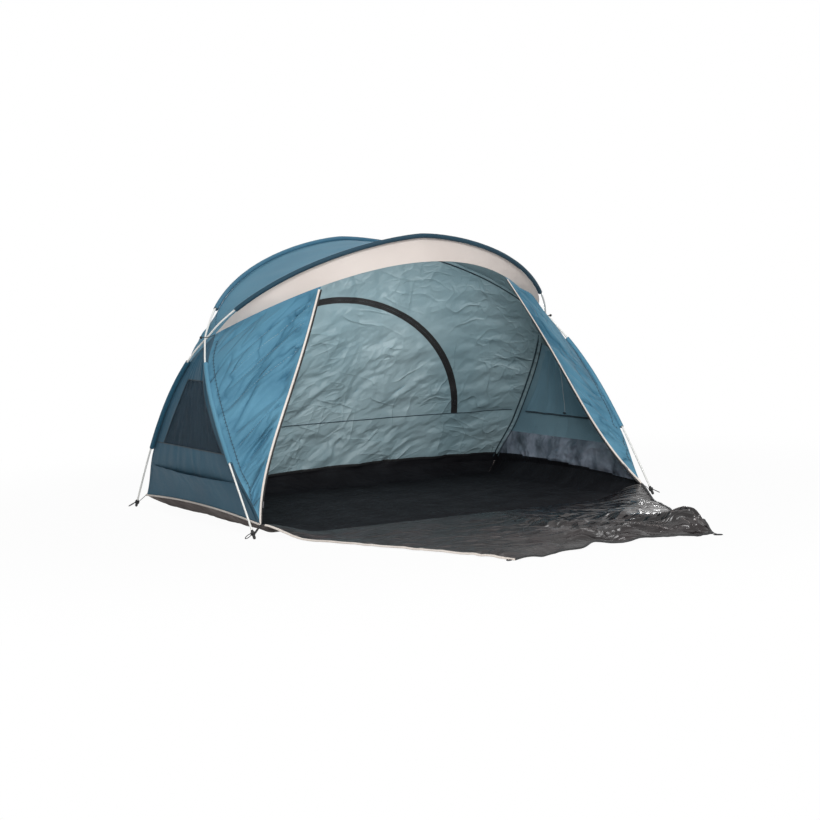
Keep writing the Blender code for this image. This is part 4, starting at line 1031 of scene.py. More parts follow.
class Held(Enum):
    """Ways to hold a sheet."""

    STRETCHED = "stretched"
    HUNG = "hung"
    LAID = "laid"


def declare(piece: Piece, flat: Triple) -> None:
    """Log a sheet with the flat size of its cut.

    Args:
        piece: The piece.
        flat: Width, length and area of the cut.
    """
    width, length, area = flat
    area = min(area, width * length)
    log.info("sheet %s: %.3f by %.3f m, %.3f square metres", piece.name, width, length, area)


def finish_piece(piece: Piece, body: str, nodes: Sequence[str] = (),
                 ends: tuple[Triple, Triple] | None = None) -> None:
    """Let a piece ride on a body, or only bake its transform when ends are given, hide the nodes that it
    stands for and log it.

    Args:
        piece: The piece.
        body: The body.
        nodes: The nodes that it replaces.
        ends: Given for a piece that crosses a joint, which then only has its transform baked; its two points
            are not used.
    """
    if ends:
        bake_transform(piece)
    else:
        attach(piece, body)
    if nodes:
        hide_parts(*nodes)
    log.info("piece %s: %d faces", piece.name, len(piece.data.polygons))


def panel(surface: Surface, name: str, columns: int, rows: int,
          finishes: Sequence[Finish]) -> Piece:
    """Build a whole panel from its surface.

    Args:
        surface: The panel's surface.
        name: Name of the piece.
        columns: Cells across.
        rows: Cells up.
        finishes: Outer and inner finish.

    Returns:
        The object.
    """
    points = surface.draped(*surface.shares(columns, rows))
    normals = grid_normals(points, surface.flipped)
    faces = grid_faces(rows + 1, columns + 1, surface.flipped)
    along = np.concatenate([np.zeros((rows + 1, 1)), np.cumsum(
        np.linalg.norm(np.diff(points, axis=1), axis=-1), axis=1)], axis=1)
    up = np.concatenate([np.zeros((1, columns + 1)), np.cumsum(
        np.linalg.norm(np.diff(points, axis=0), axis=-1), axis=0)], axis=0)
    flat = np.stack([along, up], axis=-1)
    return add_shell(name, points, faces, normals, surface.thickness, finishes, 0, 1, flat)


# Roof and visor


class RoofSurface(Surface):
    """Lens between the two arches. The first share runs from left to right, the second to the rear."""

    sag = 0.012
    noise = FoldNoise(3)

    def at(self, u: Array, v: Array) -> Array:
        """Points of the roof."""
        seam, _, turn = FORM.arch_row(u)
        front = seam * turn
        rear = front * TO_FRONT
        width = np.linalg.norm(rear - front, axis=-1)
        drop = self.sag * 4 * v * (1 - v) * width / (2 * FORM.crown_reach)
        return mixed(front, rear, v) - np.stack([np.zeros_like(drop), np.zeros_like(drop), drop], axis=-1)

    def folds(self, u: Array, v: Array) -> Array:
        """Long slack folds across the lens and small puckers at the sleeves."""
        edge = np.minimum(v, 1 - v)
        slack = np.sin(np.pi * np.clip(v, 0, 1)) * ease(np.minimum(u, 1 - u) / 0.06)
        long = self.noise.smooth(u * 16 + 2.0 * v, v * 1.4 + 3.1)
        pucker = self.noise.smooth(u * 150, v * 7 + 1.0) * np.exp(-edge / 0.05) * np.minimum(1, edge / 0.01)
        return 0.0035 * slack * long + 0.0009 * pucker * ease(np.minimum(u, 1 - u) / 0.06)


class VisorSurface(Surface):
    """Crescent below the front arch. The second share runs down."""

    noise = FoldNoise(11)

    def at(self, u: Array, v: Array) -> Array:
        """Points of the visor."""
        top, share, turn = FORM.arch_row(u)
        return mixed(top, FORM.visor_edge(share), v) * turn

    def folds(self, u: Array, v: Array) -> Array:
        """Faint folds."""
        calm = ease(np.minimum(u, 1 - u) / 0.08) * np.sin(np.pi * np.clip(v, 0, 1))
        return 0.0022 * calm * self.noise.smooth(u * 20 + v, v * 1.5)


@dataclass
class Roof:
    """Roof lens, visor and the sleeves over both arches."""

    columns: int = 260
    rows: int = 56
    visor_rows: int = 12

    def build(self) -> None:
        """Build and dress the roof."""
        surface = RoofSurface()
        roof = panel(surface, "roof_cloth", self.columns, self.rows, [Finish.SHELL, Finish.LINING])
        finish_piece(roof, "root", ["roof_panel"])
        declare(roof, surface.flat_size())
        surface = VisorSurface()
        visor = panel(surface, "visor_cloth_band", self.columns, self.visor_rows, [Finish.VISOR] * 2)
        finish_piece(visor, "root", ["visor"])
        declare(visor, surface.flat_size())


@dataclass
class Sleeves:
    """Fabric sleeves that the poles run in."""

    sides: int = 20
    step: float = 0.012
    pucker: float = 0.0005
    inner_wall: float = 0.0004
    noise: FoldNoise = FoldNoise(21)

    def sleeve(self, name: str, end: int, start: float, stop: float, finish: Finish, node: str) -> None:
        """Build one sleeve.

        Args:
            name: Name of the piece.
            end: End where the pole's feet stand.
            start: Signed distance from the crown at one mouth.
            stop: Signed distance at the other mouth.
            finish: Cloth.
            node: The node that it replaces.
        """
        count = int((stop - start) / self.step)
        signed = np.linspace(start, stop, count + 1)
        centre, outward, across = FORM.pole(signed, end)
        middle = centre - outward * FORM.sleeve_offset
        angle = np.arange(self.sides) * TURN / self.sides
        ripple = self.noise.smooth(signed[:, None] * 55, angle[None, :] * 0.9)
        rings = []
        for wall, sign in ((FORM.sleeve_wall, 1), (self.inner_wall, -1)):
            thick = wall + self.pucker * ripple * (sign > 0)
            ring = (middle[:, None, :]
                    + outward[:, None, :] * (np.cos(angle)[None, :] * (FORM.bore_long + thick))[..., None]
                    + across[:, None, :] * (np.sin(angle)[None, :] * (FORM.bore_short + thick))[..., None])
            rings.append(ring[::sign])
        tube = add_tube(name, np.concatenate(rings), finish, looped=True)
        finish_piece(tube, "root", [node])

    def build(self) -> None:
        """Build two roof sleeves and four leg sleeves."""
        roof = FORM.half_length - FORM.roof_start
        # The rear roof sleeve takes the darker copy of the shell cloth: painted shade.
        self.sleeve("rear_arch_sleeve", FRONT, -roof, roof, Finish.ARCH_PAINTED_SHADE, "rear_roof_sleeve")
        self.sleeve("front_arch_sleeve", REAR, -roof, roof, Finish.SLEEVE, "front_roof_sleeve")
        low, high = (FORM.half_length - d for d in FORM.leg_sleeve)
        for end, word in ENDS:
            # Rear leg sleeves take the darker copy of the shell cloth: painted shade.
            finish = Finish.SHELL if end == FRONT else Finish.SHELL_PAINTED_SHADE
            self.sleeve(f"{word}_leg_cloth_right", end, high, low, finish, f"{word}_leg_sleeve_right")
            self.sleeve(f"{word}_leg_cloth_left", end, -low, -high, finish, f"{word}_leg_sleeve_left")


@dataclass
class Poles:
    """Two sprung poles of six sections with ferrules."""

    sections: int = 6
    sides: int = 14
    step: float = 0.02
    ferrule: float = 0.06
    taper: float = 0.004

    def build(self) -> None:
        """Build each pole as one piece over its six nodes."""
        length = 2 * FORM.half_length / self.sections
        marks = [k * length - FORM.half_length for k in range(1, self.sections)]
        signed = list(np.arange(-FORM.half_length, FORM.half_length + self.step / 2, self.step))
        for mark in marks:
            half = self.ferrule / 2
            signed += [mark - half, mark - half + self.taper, mark + half - self.taper / 2, mark + half]
        signed = np.unique(np.round(np.clip(signed, -FORM.half_length, FORM.half_length), 5))
        radius = np.full(len(signed), FORM.pole_radius)
        for mark in marks:
            near = self.ferrule / 2 - np.abs(signed - mark)
            swell = np.clip(near / self.taper, 0, 1)
            radius = np.maximum(radius, FORM.pole_radius + (FORM.ferrule_radius - FORM.pole_radius) * swell)
        angle = np.arange(self.sides) * TURN / self.sides
        for end, prefix in ((FRONT, "rear_arch_pole"), (REAR, "front_arch_pole")):
            centre, outward, across = FORM.pole(signed, end)
            ring = (outward[:, None, :] * np.cos(angle)[None, :, None]
                    + across[:, None, :] * np.sin(angle)[None, :, None])
            rings = centre[:, None, :] + ring * radius[:, None, None]
            pole = add_tube(f"{prefix}_rod", rings, Finish.ROD)
            finish_piece(pole, "root", [f"{prefix}_section_{k + 1}" for k in range(self.sections)])


# Front corner panels


class SideSurface(Surface):
    """Panel that each side of the tent has."""

    seed = 0

    def __init__(self, side: int) -> None:
        """Set the side of the tent."""
        self.side = side
        self.noise = FoldNoise(self.seed + side)


class FrontPanelSurface(SideSurface):
    """Corner panel beside the doorway, from its leg seam to its zipped edge."""

    seed = 31
    top_half = 0.469
    sag = 0.075
    sag_share = 0.25
    height = 1.06
    foot_width = 0.02
    top_width = 0.46
    top_slant = 36.0
    foot_slant = 62.0

    def door_edge(self, share: Array) -> Array:
        """Zipped edge from the floor corner up to the visor, on the right side."""
        power = 1 / self.sag_share - 1
        slack = share * (1 - share) ** power / (self.sag_share * (1 - self.sag_share) ** power)
        top = FORM.visor_edge(np.array(self.top_half / FORM.apex[0]))
        edge = mixed(FORM.corner * TO_FRONT, top, share)
        edge[..., 1] += self.sag * slack
        return edge

    def at(self, u: Array, v: Array) -> Array:
        """Points of the panel. The second share is that of the way up to the crossing."""
        u, v = pair(u, v)
        top_share = self.top_half / FORM.apex[0]
        leg = FORM.seam(v * FORM.cross) * TO_FRONT
        chord = mixed(FORM.visor_edge(np.ones_like(u)), FORM.visor_edge(np.full_like(u, top_share)), u)
        rim = FORM.visor_edge(1 + (top_share - 1) * u)
        point = mixed(leg, self.door_edge(v), u) + (rim - chord) * (v ** 3)[..., None]
        return point * np.array([self.side, 1, 1])

    def folds(self, u: Array, v: Array) -> Array:
        """Folds that fan out from the top of the zipped edge and hang across to the leg."""
        inward = (1 - u) * (self.foot_width + self.top_width * v)
        height = v * self.height
        turn = np.radians(self.top_slant + (self.foot_slant - self.top_slant) * (1 - v))
        along = height * np.sin(turn) - inward * np.cos(turn)
        across = height * np.cos(turn) + inward * np.sin(turn)
        long = self.noise.facets(across * 7.5, along * 2.6, octaves=2, warp=0.7)
        short = self.noise.facets(across * 19.0 + 3.0, along * 5.0, octaves=2, warp=0.6)
        patch = 0.3 + 1.1 * ease(self.noise.smooth(across * 3.0 + 4.0, along * 2.2 + 6.0) + 0.55)
        broad = self.noise.smooth(across * 4.5 + 9.0, along * 1.4)
        near_zip = np.exp(-inward / 0.22)
        calm = ease(u / 0.25) * ease((inward - 0.011) / 0.04) * ease(v / 0.12) * ease((1 - v) / 0.06)
        valley = np.exp(-np.abs(self.noise.smooth(across * 8.5 + 5.0, along * 1.7 + 2.0)) / 0.11)
        return calm * (0.017 * long * patch + 0.019 * short * (0.16 + near_zip) * patch + 0.008 * broad
                       - 0.017 * valley * (0.12 + near_zip))


class SideWallSurface(SideSurface):
    """Side wall, ruled from the front leg to the back leg."""

    seed = 51
    window_sides = ((0.1, 0.24), (0.89, 0.75))

    def at(self, u: Array, v: Array) -> Array:
        """Points of the wall. The second share is that of the way up to the crossing."""
        u, v = pair(u, v)
        distance = v * FORM.cross
        seam = FORM.seam(distance)
        lift = FORM.side_lift * 4 * u * (1 - u) * np.maximum(0, 1 - distance / FORM.pocket) ** 2
        return np.stack([seam[..., 0] * self.side, seam[..., 1] * (2 * u - 1), seam[..., 2] + lift], axis=-1)

    def window_shares(self, v: Array) -> Line:
        """Front and back shares of the window at a share of the height."""
        low, high = FORM.window
        share = np.clip((v * FORM.cross - low) / (high - low), 0, 1)
        front, back = (foot + (top - foot) * share for foot, top in self.window_sides)
        return front, back

    def window_place(self, across: Array, v: Array, lap: float) -> Array:
        """Shares along the wall of places across the window and its laps.

        Args:
            across: Shares of the way from the front lap's edge to the back one's.
            v: Shares of the height.
            lap: Distance that the laps reach past the window.

        Returns:
            The shares.
        """
        front, back = self.window_shares(v)
        lap = lap / (2 * FORM.seam(v * FORM.cross)[..., 1])
        return front - lap + (back - front + 2 * lap) * across

    def folds(self, u: Array, v: Array) -> Array:
        """Upright drape folds, deeper at the crumpled plastic foot."""
        height = v * FORM.cross
        calm = np.sin(np.pi * np.clip(u, 0, 1)) * ease(v / 0.05) * ease((1 - v) / 0.15)
        drape = self.noise.smooth(u * 17 + 0.8 * v, v * 2.2)
        drape = drape + 0.7 * self.noise.facets(u * 20, v * 2.4, octaves=1)
        foot = ease((FORM.pocket - height) / 0.06)
        crumple = self.noise.facets(u * 9 + 3 * height, height * 8, octaves=3, warp=0.6)
        return calm * ((0.0026 + 0.001 * foot) * drape + 0.0075 * foot * (crumple - 1.4))


class RearWallSurface(Surface):
    """Rear wall, blended from the floor, both legs and the arch."""

    door_half = 0.665
    door_rise = 0.605
    noise = FoldNoise(71)
    broad = FoldNoise(72)

    def at(self, u: Array, v: Array) -> Array:
        """Points of the wall. The second share is that of the way up to the crossing."""
        u, v = pair(u, v)
        arch, _, turn = FORM.arch_row(u)
        arch = arch * turn * TO_FRONT
        right = FORM.seam(v * FORM.cross)
        x = (2 * u - 1) * FORM.corner[0]
        lift = FORM.corner_height + FORM.back_lift * 4 * u * (1 - u)
        floor = np.stack([x, np.full_like(x, FORM.corner[1]), lift], axis=-1)
        corners = mixed(FORM.corner * TO_LEFT, FORM.corner, u)
        apex = FORM.apex * TO_FRONT
        apexes = mixed(apex * TO_LEFT, apex, u)
        return mixed(floor, arch, v) + mixed(right * TO_LEFT, right, u) - mixed(corners, apexes, v)

    def folds(self, u: Array, v: Array) -> Array:
        """Upright folds under the arch, creases low in the middle and long ripples at the right."""
        x = (2 * u - 1) * FORM.corner[0]
        z = v * 1.1
        calm = ease(np.minimum(u, 1 - u) / 0.05) * ease(v / 0.03) * ease((1 - v) / 0.08)
        high = ease((z - 0.4) / 0.45)
        left = 1 - ease((x - 0.3) / 0.35)
        low = np.exp(-((z - 0.32) / 0.42) ** 4)
        band = np.abs(self.depth(self.at(u, v)))
        calm = calm * (0.3 + 0.7 * ease((band - 0.014) / 0.05))
        hang = self.broad.smooth(x * 7.5 + 0.5 * z, z * 1.3) * 0.006
        hang = hang + self.broad.facets(x * 12 + 2.0 * z, z * 1.8 + 7, octaves=2, warp=0.5) * 0.008
        slant = x * 0.8 + z * 0.6
        cross_slant = z * 0.8 - x * 0.6
        crumple = self.noise.facets(slant * 6.5, cross_slant * 12.5, octaves=3, warp=0.35)
        ripple = self.broad.smooth(x * 2.0 + 5, z * 13 - x * 4) * 0.009 * ease((x - 0.3) / 0.3)
        fine = self.broad.facets(slant * 9.0 + 3, cross_slant * 20.0, octaves=1) * 0.0042 * (1 - left)
        weight = 0.16 + 0.84 * (0.15 + 0.85 * left) * low
        return calm * (hang * high * (0.35 + 0.65 * left) + weight * 0.0115 * crumple + ripple + fine
                       + 0.003 * self.broad.smooth(x * 3.1 + 1, z * 2.7))

    def locate(self, x: Array, z: Array) -> Line:
        """Shares of the places on the wall behind places in the front view."""
        u = 0.5 + np.asarray(x, float) / (2 * FORM.corner[0])
        v = np.asarray(z, float) / FORM.crown_height
        step = 1e-4
        for _ in range(12):
            here = self.at(u, v)
            du = (self.at(u + step, v) - here) / step
            dv = (self.at(u, v + step) - here) / step
            ex = x - here[..., 0]
            ez = z - here[..., 2]
            det = du[..., 0] * dv[..., 2] - dv[..., 0] * du[..., 2]
            u = np.clip(u + (ex * dv[..., 2] - ez * dv[..., 0]) / det, 0, 1)
            v = np.clip(v + (ez * du[..., 0] - ex * du[..., 2]) / det, 0, 1)
        return u, v

    @cached_property
    def circle(self) -> tuple[float, float]:
        """Centre height and radius of the door's round edge."""
        radius = (self.door_half ** 2 + self.door_rise ** 2) / (2 * self.door_rise)
        return FORM.seam_height + self.door_rise - radius, radius

    def depth(self, points: Array) -> Array:
        """Distance outside the door's outline in the front view, negative on the door."""
        centre, radius = self.circle
        around = np.hypot(points[..., 0], points[..., 2] - centre) - radius
        return np.maximum(around, FORM.seam_height - points[..., 2])


class FloorSurface(Surface):
    """Tray floor with its borders drawn up to the walls."""

    inside_point = (0.0, 0.0, -9.0)
    side_border = 0.1
    end_border = 0.09
    bulge = 0.0112
    noise = FoldNoise(81)

    def edge_heights(self, x: Array, y: Array) -> tuple[Array, Array, Array]:
        """Heights of the side, back and front seams."""
        across = np.minimum(1.0, np.abs(x) / (FORM.floor_width / 2))
        by_side = 0.5 + y / FORM.floor_depth
        by_back = 0.5 + x / FORM.floor_width
        side = FORM.corner_height + FORM.side_lift * 4 * by_side * (1 - by_side)
        back = FORM.corner_height + FORM.back_lift * 4 * by_back * (1 - by_back)
        corner = ease((across - FORM.front_corner_share) / (1 - FORM.front_corner_share))
        return side, back, FORM.sheet / 2 + (FORM.corner_height - FORM.sheet / 2) * corner

    def at(self, u: Array, v: Array) -> Array:
        """Points of the floor. The first share runs to the right and the second to the rear."""
        half_x = FORM.floor_width / 2
        half_y = FORM.floor_depth / 2
        u, v = pair(u, v)
        x = (2 * u - 1) * half_x
        y = (2 * v - 1) * half_y
        side, back, front = self.edge_heights(x, y)
        near_side = np.maximum(0, 1 - (half_x - np.abs(x)) / self.side_border) ** 2
        near_end = np.maximum(0, 1 - (half_y - np.abs(y)) / self.end_border) ** 2
        flat = FORM.sheet / 2
        end = np.where(y < 0, front, back)
        height = flat + np.maximum((side - flat) * near_side, (end - flat) * near_end)
        out = np.where(y < 0, self.bulge * (1 - (x / half_x) ** 4) * near_end, 0.0)
        return np.stack([x, y - out, height], axis=-1)

    def folds(self, u: Array, v: Array) -> Array:
        """Low wrinkles across the floor."""
        x = (2 * u - 1) * FORM.floor_width / 2
        y = (2 * v - 1) * FORM.floor_depth / 2
        rim = np.minimum(np.minimum(u, 1 - u) * 2, np.minimum(v, 1 - v) * 1.4)
        calm = ease(rim / 0.04)
        creases = self.noise.facets(x * 4.0 + 2, y * 10.0, octaves=3, warp=0.6)
        return 0.0002 + calm * 0.0026 * (creases + 1.7)


class ApronSurface(Surface):
    """Front door laid out on the ground, from the floor's front seam to its outer hem."""

    inside_point = (0.0, 0.0, -9.0)
    length = 1.2
    outer_half = 0.466
    wave = 0.011
    rise_share = 0.45
    corner_fall = 0.3
    gather = 0.085
    gather_share = 0.1
    gather_reach = 0.45
    hem_overlap = 0.012
    hem_wave = 0.018
    corner_draw = (0.05, 0.022)
    hump_place = (0.96, 0.86)
    hump_reach = (0.085, 0.13)
    hump = 0.05
    noise = FoldNoise(91)
    fine = FoldNoise(92)
    swell_shares = ((1.0, 1.3, 0.5, 0.0), (0.7, 2.55, -0.8, 0.2), (0.5, 0.35, 2.2, 0.0))

    def at(self, u: Array, v: Array) -> Array:
        """Points of the apron. The first share runs to the right and the second to the front."""
        u, v = pair(u, v)
        share = 2 * u - 1
        start = FloorSurface().at(u, np.zeros_like(u))
        half = FORM.floor_width / 2 + (self.outer_half - FORM.floor_width / 2) * v
        wave = np.zeros_like(u)
        for strength, across, outward, begin in self.swell_shares:
            wave += strength * np.sin(TURN * (across * share + outward * v + begin))
        calm = ease(v * self.length / 0.1 - 0.6)
        rise = self.wave * calm * np.maximum(0, self.rise_share * (1 + wave))
        lifted = (start[..., 2] - FORM.sheet / 2) * (1 - ease(v / self.corner_fall)) ** 2
        gathered = self.gather * np.exp(-((share - self.gather_share) / self.gather_reach) ** 2) * v ** 4
        drawn = gathered + self.hem_wave * np.sin(TURN * (1.9 * share + 0.3)) * v ** 6 * (1 - share ** 4)
        left, right = self.corner_draw
        drawn = drawn - (left * np.maximum(0, -share) ** 3 + right * np.maximum(0, share) ** 6) * v ** 3
        y = start[..., 1] - (self.length + self.hem_overlap) * v + drawn
        return np.stack([half * share, y, FORM.sheet / 2 + rise + lifted], axis=-1)

    def folds(self, u: Array, v: Array) -> Array:
        """Crumples, with long folds that run out to the right corner."""
        x = (2 * u - 1) * (0.95 - 0.48 * v)
        y = v * self.length
        calm = ease(v / 0.08) * (0.35 + 0.65 * ease(v / 0.4)) * (1 - 0.8 * ease((v - 0.9) / 0.1))
        rim = np.minimum(np.minimum(u, 1 - u) * 2, (1 - v) * 1.2)
        edge = 0.45 + 0.55 * ease(rim / 0.06)
        spread = self.noise.facets(x * 4.5 + y * 1.2, y * 7.0 - x * 1.8, octaves=4, warp=0.6) + 1
        reach = np.hypot(x - 0.5, y - 1.3)
        fan = np.arctan2(x - 0.62, 1.55 - y)
        rays = self.fine.facets(fan * 9.0, reach * 1.3, octaves=3, warp=0.3) + 1
        near = np.exp(-(reach / 0.8) ** 2)
        across, down = self.hump_place
        wide, deep = self.hump_reach
        hump = self.hump * np.exp(-((u - across) / wide) ** 2 - ((v - down) / deep) ** 2)
        near = near * (1 - 0.85 * ease((u - 0.8) / 0.16) * ease((0.66 - v) / 0.16))
        height = 0.0075 * spread + 0.029 * near * rays
        return 0.0006 + calm * (edge * np.maximum(0, height - 0.003) + hump)


class PatchSurface(SideSurface):
    """Panel that is sewn to a side wall."""

    @cached_property
    def wall(self) -> SideWallSurface:
        """The wall."""
        return SideWallSurface(self.side)

    def over(self, u: Array, v: Array, stand: Array) -> Array:
        """Points that stand a distance outside places on the wall."""
        return self.wall.at(u, v) + self.wall.normal(u, v) * stand[..., None]


class PocketSurface(PatchSurface):
    """Sand pocket outside the foot of a side wall, open at its top."""

    seed = 61
    inset_share = 0.03
    bulge = 0.024
    foot = 0.01

    def at(self, u: Array, v: Array) -> Array:
        """Points of the pocket. The second share runs from the foot to the mouth."""
        u, v = pair(u, v)
        along = self.inset_share + (1 - 2 * self.inset_share) * u
        up = (self.foot + (FORM.pocket - self.foot) * v) / FORM.cross
        return self.over(along, up, 0.0022 + self.bulge * v * v * np.sin(np.pi * u))

    def folds(self, u: Array, v: Array) -> Array:
        """The mouth gapes and dips between its stitches."""
        calm = np.sin(np.pi * np.clip(u, 0, 1)) * v
        dip = 0.006 * self.noise.smooth(u * 9, v * 1.2) * v
        return calm * (dip + 0.0015 * self.noise.smooth(u * 30, v * 5))


class CoverSurface(PatchSurface):
    """Cover that hangs inside a window, pleated below its sewn top."""

    seed = 66
    lap = 0.027
    foot_lap = 0.008
    hem = 0.014
    pleat = 0.0055
    standoff = 0.0035

    def at(self, u: Array, v: Array) -> Array:
        """Points of the cover. The second share runs from its foot to its sewn top."""
        u, v = pair(u, v)
        low = FORM.window[0] - self.foot_lap
        high = FORM.window[1] + self.hem
        up = (low + (high - low) * v) / FORM.cross
        stand = -0.0026 - self.standoff * np.minimum(1, (1 - v) / 0.25)
        return self.over(self.wall.window_place(u, up, self.lap), up, stand)

    def folds(self, u: Array, v: Array) -> Array:
        """Upright pleats."""
        hang = np.minimum(1, (1 - v) / 0.2)
        wave = (1 - np.cos(TURN * 4.5 * (u + 0.05 * self.noise.smooth(u * 3, v * 1.5)))) / 2
        small = self.noise.smooth(u * 22, v * 3)
        return -hang * (self.pleat * wave + 0.0012 * (small + 1))


@dataclass
class SideWalls:
    """Both side walls with their windows, covers and sand pockets."""

    rows: int = 110
    border_columns: int = 26
    window_columns: int = 70
    pocket_columns: int = 130
    pocket_rows: int = 22
    cover_columns: int = 120
    cover_rows: int = 60
    net_columns: int = 80
    net_rows: int = 40
    net_lap: float = 0.012
    net_off: float = -0.0014
    net_thick: float = 0.0004
    least_share: float = 0.301

    def shares(self, surface: SideWallSurface) -> Line:
        """Grid shares with lines along the window's borders."""
        low, high = FORM.window_span
        below = int(self.rows * low)
        inside = int(self.rows * (high - low))
        up = np.concatenate([np.linspace(0, low, below, endpoint=False),
                             np.linspace(low, high, inside, endpoint=False),
                             np.linspace(high, 1, self.rows - below - inside + 1)])
        front, back = surface.window_shares(up)
        border = np.linspace(0, 1, self.border_columns, endpoint=False)
        middle = np.linspace(0, 1, self.window_columns, endpoint=False)
        last = np.linspace(0, 1, self.border_columns + 1)
        u = np.concatenate([front[:, None] * border, front[:, None] + (back - front)[:, None] * middle,
                            back[:, None] + (1 - back)[:, None] * last], axis=1)
        return u, np.repeat(up[:, None], u.shape[1], axis=1)

    def wall(self, side: int, word: str, surface: SideWallSurface) -> None:
        """Build one wall with its window open."""
        u, v = self.shares(surface)
        points = surface.draped(u, v)
        rows, columns = u.shape
        faces = grid_faces(rows, columns, surface.flipped)
        low, high = FORM.window_span
        pocket = FORM.pocket / FORM.cross
        inner, skirt, plastic = 1, 2, 3
        kept, slots = [], []
        tray = FORM.tray_edge(side, u - 0.5)
        for index, face in enumerate(faces):
            i, j = divmod(index, columns - 1)
            up = (v[i, 0] + v[i + 1, 0]) / 2
            if low < up < high and self.border_columns <= j < self.border_columns + self.window_columns:
                continue
            kept.append(face)
            slots.append(plastic if points[i, j, 2] < tray[i, j] else skirt if up < pocket else inner)
        flat = np.stack([u * FORM.floor_depth, v * FORM.cross], axis=-1)
        # Outer side in the darker copy of the shell cloth: painted shade.
        piece = add_shell(f"side_wall_cloth_painted_shade_{word}", points, kept, grid_normals(points, surface.flipped),
                          surface.thickness, [Finish.SHELL_PAINTED_SHADE, Finish.INNER, Finish.SKIRT, Finish.FLOOR],
                          0, slots, flat)
        finish_piece(piece, "root", [f"side_wall_{word}"])
        width, length, area = surface.flat_size()
        window = points[v[:, 0] >= low][:, self.border_columns:self.border_columns + self.window_columns + 1]
        window = window[:int(self.rows * (high - low)) + 1]
        area = max(area - cut_of(window)[2], self.least_share * width * length)
        declare(piece, (width, length, area))

    def net(self, word: str, surface: SideWallSurface) -> None:
        """Build the netting behind the window's opening."""
        low, high = FORM.window
        up = np.linspace(low - self.net_lap, high + self.net_lap, self.net_rows) / FORM.cross
        across, v = np.meshgrid(np.linspace(0, 1, self.net_columns), up)
        u = surface.window_place(across, v, self.net_lap)
        points = surface.draped(u, v, self.net_off)
        flat = np.stack([u * FORM.floor_depth, v * FORM.cross], axis=-1)
        faces = grid_faces(self.net_rows, self.net_columns, surface.flipped)
        piece = add_shell(f"window_netting_{word}", points, faces, grid_normals(points, surface.flipped),
                          self.net_thick, [Finish.NET], 0, 0, flat)
        finish_piece(piece, "root", [f"window_net_{word}"])
        declare(piece, cut_of(points))

    def build(self) -> None:
        """Build both sides."""
        for side, word in SIDES:
            surface = SideWallSurface(side)
            self.wall(side, word, surface)
            self.net(word, surface)
            pocket = PocketSurface(side)
            # Sand pockets in the darker copy of the shell cloth: painted shade.
            piece = panel(pocket, f"sand_pocket_cloth_{word}", self.pocket_columns, self.pocket_rows,
                          [Finish.SHELL_PAINTED_SHADE] * 2)
            finish_piece(piece, "root", [f"sand_pocket_{word}"])
            declare(piece, pocket.flat_size())
            cover = CoverSurface(side)
            piece = panel(cover, f"window_cover_cloth_{word}", self.cover_columns, self.cover_rows,
                          [Finish.COVER] * 2)
            finish_piece(piece, f"window_cover_{word}", [f"window_cover_{word}"])
            declare(piece, cover.flat_size())


def line_on(surface: Surface, shares: Line, off: float = 0.0, aside: float = 0.0) -> Line:
    """Points and outward normals along a line on a surface.

    Args:
        surface: The surface.
        shares: Both shares of each point.
        off: Distance out of the tent.
        aside: Distance to the side, along the surface.

    Returns:
        Points and normals.
    """
    points = surface.draped(*shares, off)
    normals = surface.normal(*shares)
    if aside:
        points = points + np.cross(unit(np.gradient(points, axis=0)), normals) * aside
    return points, normals


@dataclass
class Binding:
    """Tape, piping or seam that follows a line on a surface."""

    name: str
    surface: Surface
    line: Line
    half_width: float
    half_thick: float
    finish: Finish
    off: float = 0.0
    aside: float = 0.0
    sides: int = 8

    def build(self) -> Piece:
        """Build the strip."""
        points, normals = line_on(self.surface, self.line, self.off, self.aside)
        rings = rings_along(points, self.sides, self.half_width, self.half_thick, normals)
        return add_tube(self.name, rings, self.finish)


@dataclass
class FrontPanels:
    """Corner panels beside the doorway with their bound, zipped edges."""

    columns: int = 110
    rows: int = 220
    steps: int = 160
    tape: float = 0.0062
    tape_half_thick: float = 0.0009
    bound_half: float = 0.0047
    bound_half_thick: float = 0.0026
    bound_off: float = 0.0012
    bound_aside: float = 0.0042
    top_share: float = 0.985

    def build(self) -> None:
        """Build both corner panels."""
        for side, word in SIDES:
            surface = FrontPanelSurface(side)
            piece = panel(surface, f"front_panel_cloth_{word}", self.columns, self.rows,
                          [Finish.PANEL, Finish.LINING])
            finish_piece(piece, "root", [f"front_panel_{word}"])
            declare(piece, surface.flat_size())
            up = np.linspace(0.0, self.top_share, self.steps)
            edge = (1.0, up)
            bound = Binding(f"door_edge_binding_{word}", surface, edge, self.bound_half,
                            self.bound_half_thick, Finish.PIPING, self.bound_off, side * self.bound_aside)
            tape = Binding(f"door_zip_tape_{word}", surface, edge, self.tape / 2, self.tape_half_thick,
                           Finish.ZIP, aside=-side * self.tape / 2)
            finish_piece(bound.build(), "root")
            finish_piece(tape.build(), "root", [f"front_zip_{word}"])


